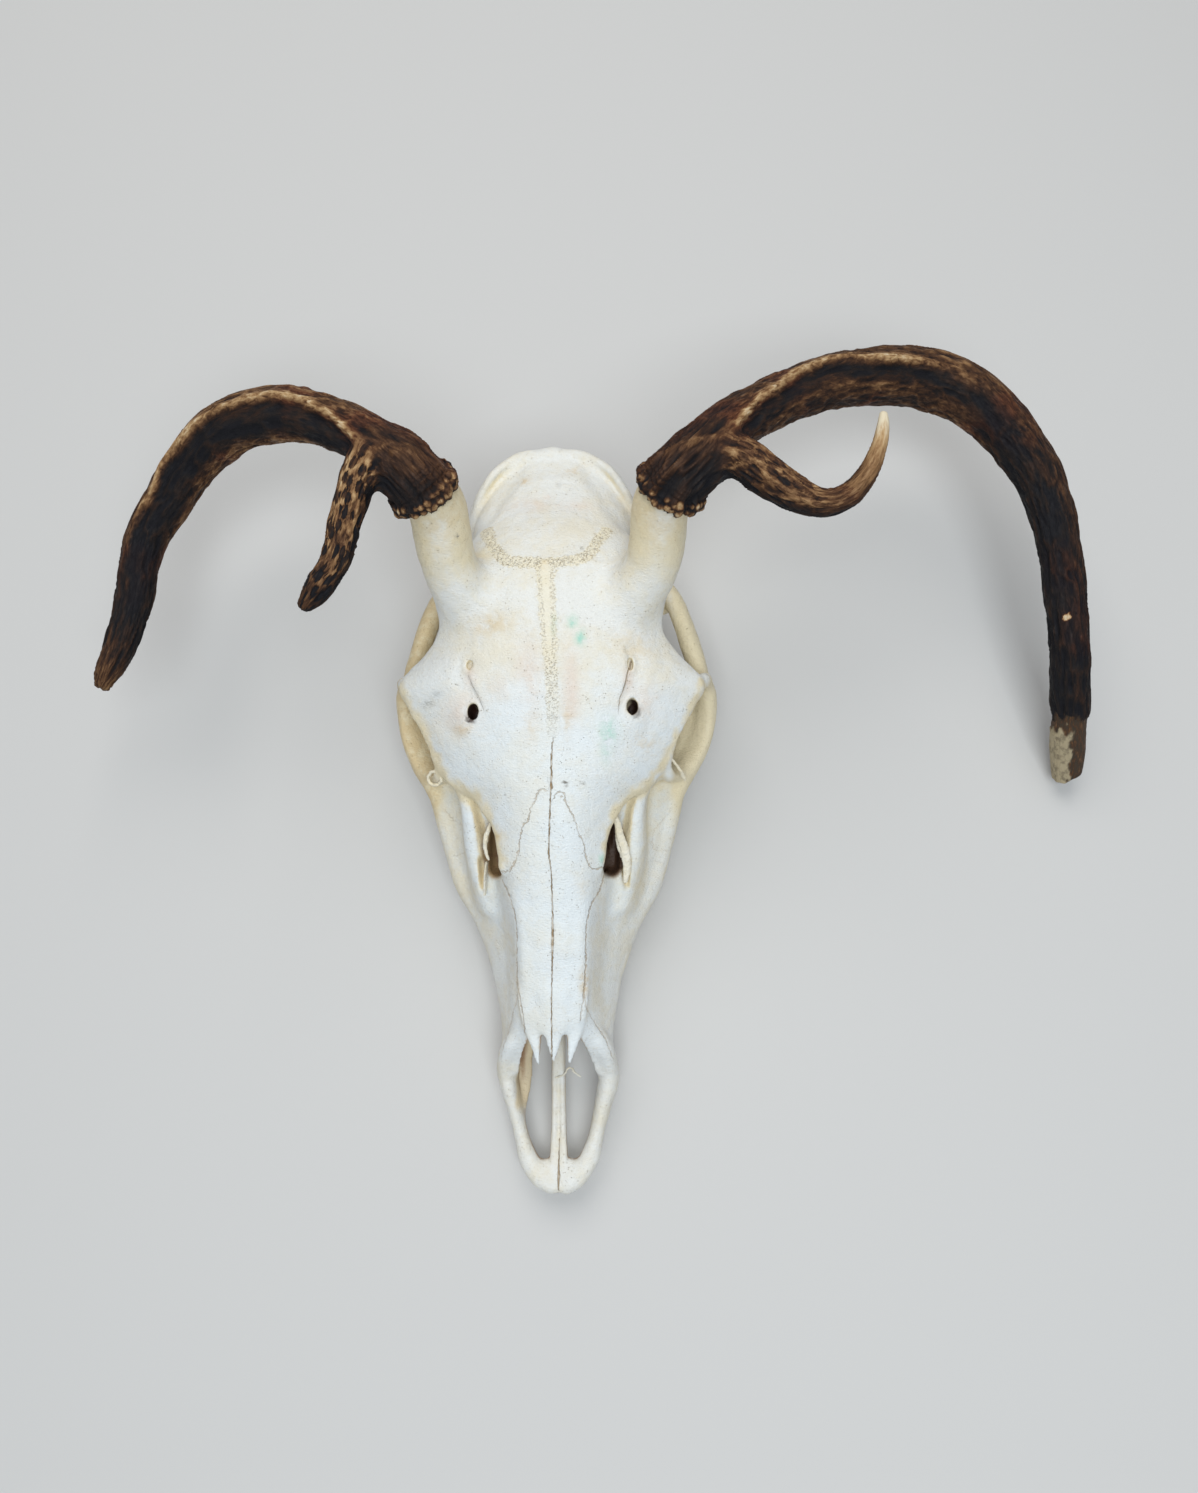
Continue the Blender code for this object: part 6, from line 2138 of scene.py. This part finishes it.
    def beside(self, table: Rows, spot: Spot) -> tuple[np.ndarray, np.ndarray]:
        """The signed distance round the beam from a ridge, and the ridge's strength.

        Args:
            table: the ridge: length along the beam, angle round it in degrees, strength.
            spot: where the points lie.

        Returns:
            Millimetres round the beam, and a number from 0 to 1.
        """
        angle, strength = between_stations(table, np.clip(spot.along, table[0][0], table[-1][0])).T
        strength = np.where((spot.along < table[0][0]) | (spot.along > table[-1][0]), 0, strength)
        away = spot.turn - np.radians(angle)
        away = (away + math.pi) % (2 * math.pi) - math.pi
        return away * spot.radius, strength.clip(0, 1)

    def tone(self, beam: Spot, tine: Spot, away: np.ndarray, on_tine: np.ndarray) -> np.ndarray:
        """How light the antler is, from 0 for black to 1 for pale tan, and above 1 for ivory."""
        table = between_stations(self.tones, np.clip(beam.along, 0, self.tones[-1][0]))
        place = np.interp(-away, [-p for p in self.tone_places], (0, 1, 2, 3))
        lower = np.minimum(place.astype(int), 2)
        rows = np.arange(len(place))
        share = np.where(lower > 0, (place - lower) ** 2.2, place - lower)
        on_beam = table[rows, lower] + (table[rows, lower + 1] - table[rows, lower]) * share
        top, under, _ = self.on_tine_rows(tine).T
        upward = ramp(np.sin(tine.turn), -0.3, 0.85)
        return on_beam + (under + (top - under) * upward - on_beam) * on_tine

    def on_tine_rows(self, tine: Spot) -> np.ndarray:
        """The tine's tones and its smoothness at each point."""
        share = np.clip(tine.along / self.tine_course.along[-1], 0, 1)
        return between_stations(self.tine_tones, share)

    def broken(self, beam: Spot, noise: Noise) -> tuple[np.ndarray, np.ndarray]:
        """Shares of the broken end's bare patch: its dull brown part and its pale part."""
        if not self.broken_end:
            return np.zeros(len(beam.along)), np.zeros(len(beam.along))
        left = self.beam_course.along[-1] - beam.along
        grain = beam.grain(10.0)
        jagged = 5.0 * noise.layers(grain / np.array([7.0, 3.0, 3.0]), 2)
        side = np.cos(beam.turn) + 0.22 * noise.layers(grain / 5.0 + 9.0, 2)
        dull = 1 - ramp(left + jagged, 40.0, 43.0)
        pale = (1 - ramp(left + jagged, 33.0, 35.0)) * ramp(side, 0.26, 0.38)
        return dull, pale

    def carve_relief(self, made: bpy.types.Object) -> None:
        """Moves the skin into ridges, grooves and a crest, and keeps what the finish reads."""
        points = points_of(made)
        normals = normals_of(made)
        beam = self.locate(points, self.beam_course)
        tine = self.locate(points, self.tine_course)
        on_tine = ramp(beam.gap - tine.gap, -self.fork_blend, self.fork_blend)
        noise = Noise(self.seed)
        relief = (1 - on_tine) * self.grooves(noise, beam) + on_tine * self.grooves(noise, tine)
        smooth = self.on_tine_rows(tine)[:, 2] * on_tine
        foot = fade(np.maximum(beam.along - 8.0, 0), 18.0) * (1 - on_tine)
        column = np.column_stack([beam.along / 14.0, np.zeros((len(points), 2))])
        away, strength = self.beside(self.crest, beam)
        away = away + 0.8 * noise.layers(column, 2)
        crest = strength * fade(away, 2.2) * (1 - on_tine)
        trough = strength * fade(away + 5.6, 3.4) * (1 - on_tine)
        ridge_away, ridge_strength = self.beside(self.shoulder, beam)
        ridge = ridge_strength * fade(ridge_away, 2.6) * (1 - 0.6 * on_tine)
        dull, pale = self.broken(beam, noise)
        relief = relief * (1 - 0.7 * crest)
        height = relief * (0.50 + 0.85 * foot) * (1 - 0.85 * smooth) * (1 - 0.7 * dull)
        height += 1.7 * crest - 2.1 * trough + 1.3 * ridge - 0.8 * dull * (1 - pale)
        height += 0.45 * noise.layers(points / 12.0, 2) * (1 - smooth)
        pearl = self._pearl(points)
        move_points(made, points + normals * (height * (1 - pearl))[:, None])
        burr = (1 - ramp(beam.along, 3.0, 8.0)) * (1 - on_tine)
        tone = self.tone(beam, tine, away, on_tine) * (1 - 0.8 * burr)
        tone = tone + (0.78 - tone) * (strength * fade(away, 2.9) * (1 - on_tine)).clip(0, 1)
        tone = tone + (0.54 - tone) * ridge.clip(0, 1) * 0.6
        for along, angle, reach in self.chips:
            out = np.hypot(beam.along - along, (beam.turn - math.radians(angle)) * beam.radius)
            tone = tone + (0.88 - tone) * (1 - ramp(out + noise.layers(points / 2.0, 2), reach, reach + 0.5))
        tone = tone + (0.70 - tone) * pearl * ramp(self.outward(points), 14.6, 17.0)
        paint(made, "tone", tone)
        paint(made, "relief", relief * (1 - 0.7 * smooth))
        paint(made, "grain", beam.grain(11.0) * MM)
        paint(made, "tine_grain", (tine.grain(7.0) + 300.0) * MM)
        paint(made, "on_tine", on_tine)
        paint(made, "pits", self.pitted * on_tine * (1 - smooth))
        paint(made, "smooth", smooth)
        paint(made, "dull", dull)
        paint(made, "bare", pale)

    def outward(self, points: np.ndarray) -> np.ndarray:
        """Distance from the burr's axis."""
        axis = np.array(Vector(self.burr_axis).normalized())
        offset = points - np.array(self.burr_centre)
        return np.linalg.norm(offset - (offset @ axis)[:, None] * axis, axis=1)

    def grooves(self, noise: Noise, spot: Spot) -> np.ndarray:
        """Lengthwise grooves and ridges from -1 to 1 that wander and fork."""
        grain = spot.grain(11.0)
        wander = 1.6 * noise.at(grain / 16.0 + 7.0)
        lines = grain / np.array([13.0, 2.6, 2.6])
        lines[:, 1:] += wander[:, None] * 0.7
        broad = noise.at(lines)
        lines = grain / np.array([6.0, 1.4, 1.4]) + 31.0
        fine = noise.at(lines)
        return np.clip(1.05 * (1 - 2.6 * np.abs(broad)) + 0.7 * fine, -1.6, 1.2)

    def _pearl(self, points: np.ndarray) -> np.ndarray:
        """How much a point belongs to the burr's pearls."""
        centre = np.array(self.burr_centre)
        near = np.flatnonzero(((points - centre) ** 2).sum(axis=1) < 24.0**2)
        share = np.zeros(len(points))
        for *place, radius in self.pearl_places:
            gap = np.sqrt(((points[near] - np.array(place)) ** 2).sum(axis=1)) - radius
            share[near] = np.maximum(share[near], 1 - ramp(gap, 0.0, 0.6))
        return share

    def dress(self, made: bpy.types.Object, finish: bpy.types.Material) -> None:
        """Gives the antler its relief, its finish and its place."""
        self.carve_relief(made)
        thin_out(made, self.triangles)
        made.data.materials.append(finish)
        word = self.side.word
        settle(made, [f"antler_beam_{word}", f"brow_tine_{word}"])


def left_antler() -> Antler:
    """The longer antler, on the animal's left."""
    return Antler(
        side=Side.LEFT,
        burr_centre=(59.6, 320.5, 150.0),
        burr_axis=(0.42, 0.40, 0.81),
        beam=(
            (68.6, 328.7, 156.0, 14.2), (78.0, 339.5, 155.0, 12.6), (88.3, 350.7, 151.0, 11.8),
            (108.1, 367.2, 140.0, 11.9), (131.4, 383.8, 127.0, 12.5), (154.3, 394.7, 115.5, 13.7),
            (173.8, 400.6, 107.0, 14.4), (193.9, 402.0, 100.5, 15.0), (212.0, 396.8, 96.0, 14.6),
            (227.6, 386.0, 92.0, 13.7), (240.4, 371.1, 88.0, 12.7), (250.7, 354.7, 84.0, 11.7),
            (257.3, 335.9, 79.5, 11.1), (260.9, 317.1, 75.5, 10.5), (263.9, 293.8, 69.0, 10.2),
            (266.4, 271.8, 61.0, 9.9), (269.7, 253.6, 48.0, 9.8), (272.9, 235.6, 32.0, 9.6),
            (276.4, 219.6, 15.5, 9.0), (277.4, 212.2, 9.0, 7.8),
        ),
        tine=(
            (66.0, 327.5, 153.0, 8.6), (77.9, 332.5, 154.5, 9.6), (89.7, 329.6, 159.0, 9.2),
            (101.9, 319.0, 161.0, 8.8), (113.6, 309.7, 162.0, 7.8), (125.0, 304.4, 163.5, 6.3),
            (135.9, 306.0, 167.0, 5.6), (143.8, 313.6, 171.5, 4.6), (148.6, 323.9, 175.5, 3.6),
            (150.5, 332.5, 178.0, 2.8), (150.8, 338.1, 179.5, 1.8),
        ),
        crest=(
            (0, 55, 0.0), (28, 58, 0.1), (36, 62, 0.9), (50, 76, 1.0), (67, 92, 1.0), (83, 105, 1.0),
            (99, 113, 1.0), (112, 112, 1.0), (128, 102, 1.0), (149, 94, 1.0), (163, 89, 0.9),
            (185, 86, 0.5), (215, 84, 0.15), (260, 84, 0.0),
        ),
        shoulder=(
            (2, 135, 0.0), (7.6, 129, 0.5), (18, 100, 1.0), (27, 76, 1.0), (31, 50, 0.8), (36, 43, 0.0),
        ),
        tones=(
            (0, 0.18, 0.05, 0.07, 0.10), (25, 0.25, 0.05, 0.07, 0.12), (40, 0.30, 0.10, 0.28, 0.24),
            (70, 0.34, 0.03, 0.36, 0.30), (110, 0.36, 0.02, 0.38, 0.28), (150, 0.38, 0.02, 0.37, 0.28),
            (185, 0.40, 0.04, 0.32, 0.36), (215, 0.36, 0.05, 0.14, 0.34), (250, 0.31, 0.05, 0.05, 0.12),
            (300, 0.23, 0.05, 0.03, 0.07), (340, 0.16, 0.05, 0.02, 0.04), (380, 0.09, 0.04, 0.02, 0.04),
            (426, 0.09, 0.05, 0.03, 0.05),
        ),
        tine_tones=(
            (0.0, 0.30, 0.06, 0.0), (0.2, 0.48, 0.06, 0.0), (0.5, 0.54, 0.05, 0.1),
            (0.65, 0.50, 0.20, 0.5), (0.8, 0.62, 0.46, 0.75), (0.9, 0.86, 0.72, 0.9),
            (1.0, 1.26, 1.2, 1.0),
        ),
        seed=11,
        broken_end=True,
        chips=((332, 68, 1.5),),
        pitted=0.5,
    )


def right_antler() -> Antler:
    """The shorter antler, on the animal's right."""
    return Antler(
        side=Side.RIGHT,
        burr_centre=(-55.2, 321.4, 150.0),
        burr_axis=(-0.42, 0.40, 0.81),
        beam=(
            (-63.6, 330.0, 156.0, 14.2), (-74.8, 339.6, 155.5, 12.7), (-90.9, 351.7, 151.0, 11.7),
            (-111.0, 362.9, 144.0, 12.4), (-128.9, 369.0, 137.0, 13.1), (-146.5, 370.2, 130.0, 13.5),
            (-162.6, 368.2, 122.0, 13.6), (-173.9, 363.2, 115.0, 13.0), (-186.0, 354.3, 107.0, 12.1),
            (-196.0, 343.0, 100.0, 11.4), (-205.4, 332.7, 94.0, 10.8), (-210.5, 323.5, 91.0, 10.3),
            (-213.4, 311.9, 88.5, 9.7), (-215.0, 297.1, 87.0, 9.1), (-217.6, 281.8, 86.0, 8.4),
            (-221.3, 265.9, 86.0, 7.5), (-225.1, 255.2, 86.5, 5.9), (-227.7, 247.4, 87.0, 3.5),
        ),
        tine=(
            (-63.0, 330.5, 153.0, 8.6), (-72.7, 335.8, 154.5, 9.8), (-78.7, 330.8, 159.0, 9.0),
            (-83.3, 317.9, 162.0, 8.0), (-87.2, 299.0, 163.0, 7.3), (-90.7, 280.8, 163.0, 6.8),
            (-98.6, 268.5, 161.0, 5.9), (-104.3, 261.0, 160.0, 3.3),
        ),
        crest=(
            (0, 60, 0.0), (26, 58, 0.1), (33.5, 60, 0.9), (56, 82, 1.0), (72, 95, 1.0), (87, 102, 1.0),
            (108, 97, 1.0), (128, 96, 1.0), (144, 103, 1.0), (160, 113, 1.0), (181, 110, 0.8),
            (205, 112, 0.4), (240, 110, 0.0),
        ),
        shoulder=((2, 130, 0.0), (8, 124, 0.4), (18, 98, 0.9), (26, 72, 1.0), (31, 50, 0.7), (36, 40, 0.0)),
        tones=(
            (0, 0.20, 0.04, 0.06, 0.10), (25, 0.28, 0.04, 0.06, 0.12), (40, 0.34, 0.05, 0.08, 0.30),
            (70, 0.44, 0.02, 0.05, 0.42), (110, 0.46, 0.02, 0.04, 0.46), (150, 0.40, 0.02, 0.04, 0.42),
            (185, 0.30, 0.03, 0.05, 0.36), (215, 0.22, 0.04, 0.06, 0.30), (250, 0.16, 0.06, 0.05, 0.18),
            (270, 0.28, 0.22, 0.12, 0.28), (287, 0.50, 0.48, 0.42, 0.42),
        ),
        tine_tones=(
            (0.0, 0.52, 0.14, 0.0), (0.2, 0.66, 0.20, 0.0), (0.5, 0.60, 0.16, 0.0),
            (0.8, 0.44, 0.12, 0.0), (0.92, 0.30, 0.12, 0.1), (1.0, 0.34, 0.20, 0.2),
        ),
        seed=23,
    )


# ---- the studio ----


@dataclass(frozen=True)
class Studio:
    """A pale floor, soft lights, and the camera above the forehead."""

    floor_tone: float = 0.62
    lens: float = 27.73  # millimetres, on a 36 millimetre sensor
    camera_place: Row = (0.04197276, 0.07847675, 0.63397666)  # metres from the point under the nose tip
    camera_turn: Rows = (
        (0.99939508, 0.01173575, 0.03273749), (-0.00355657, 0.9708963, -0.23947384),
        (-0.03459511, 0.23921255, 0.97035073),
    )

    def build(self, under_nose: Vector) -> None:
        """Sets up the floor, the lights, the world and the camera."""
        self._floor()
        self._lights(under_nose)
        self._camera(under_nose)

    def _floor(self) -> None:
        """A plain pale floor."""
        half = 3000.0
        corners = np.array([(-half, -half, 0), (half, -half, 0), (half, half, 0), (-half, half, 0)])
        floor = mesh_object("floor", corners, np.array([[0, 1, 2, 3]]))
        finish = bpy.data.materials.new("pale floor")
        finish.use_nodes = True
        surface = finish.node_tree.nodes["Principled BSDF"]
        surface.inputs["Base Color"].default_value = (*[self.floor_tone] * 3, 1)
        surface.inputs["Roughness"].default_value = 0.8
        floor.data.materials.append(finish)

    def _lights(self, under_nose: Vector) -> None:
        """A broad soft light high on the right, a weaker one on the left, and a pale world."""
        bpy.context.scene.view_settings.view_transform = "Standard"
        world = bpy.data.worlds.new("soft room")
        bpy.context.scene.world = world
        world.use_nodes = True
        world.node_tree.nodes["Background"].inputs["Color"].default_value = (0.90, 0.95, 1.0, 1)
        world.node_tree.nodes["Background"].inputs["Strength"].default_value = 0.27
        target = under_nose + Vector((0, 0.2, 0.05))
        for name, place, size, power, colour in (
            ("window light", (0.18, -0.62, 1.6), 0.9, 17.0, (0.93, 0.98, 1.0)),
            ("room light", (-0.15, 0.95, 1.55), 1.4, 16.0, (1.0, 0.965, 0.91)),
        ):
            data = bpy.data.lights.new(name, "AREA")
            data.size = size
            data.energy = power
            data.color = colour
            light = bpy.data.objects.new(name, data)
            bpy.context.scene.collection.objects.link(light)
            light.location = target + Vector(place)
            light.rotation_euler = (-Vector(place)).to_track_quat("-Z", "Y").to_euler()

    def _camera(self, under_nose: Vector) -> None:
        """The camera, looking down at the forehead."""
        data = bpy.data.cameras.new("camera")
        data.lens = self.lens
        data.sensor_width = 36.0
        camera = bpy.data.objects.new("camera", data)
        bpy.context.scene.collection.objects.link(camera)
        turn = Matrix(self.camera_turn).to_4x4()
        camera.matrix_world = Matrix.Translation(under_nose + Vector(self.camera_place)) @ turn
        bpy.context.scene.camera = camera


def main() -> None:
    """Builds and dresses every piece."""
    logging.basicConfig(level=logging.INFO, format="%(message)s")
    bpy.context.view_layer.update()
    low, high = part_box("skull")
    under_nose = Vector(((low.x + high.x) / 2, low.y - NOSE_TIP_Y * MM, low.z))
    antlers = [left_antler(), right_antler()]
    skull = Skull([Pedicle(antler.side, antler.burr_centre, antler.burr_axis) for antler in antlers])
    bone = BoneFinish("bleached bone").material()
    skull.dress(skull.build(), bone)
    for splinter in splinters():
        splinter.dress(splinter.build(), bone)
    finish = AntlerFinish("grooved antler").material()
    enamel = ToothFinish("worn cheek tooth").material()
    for row in (ToothRow(Side.LEFT), ToothRow(Side.RIGHT)):
        for tooth in row.teeth():
            tooth.dress(tooth.build(), enamel)
    for antler in antlers:
        antler.dress(antler.build(), finish)
    Studio().build(under_nose)


if __name__ == "__main__":
    main()
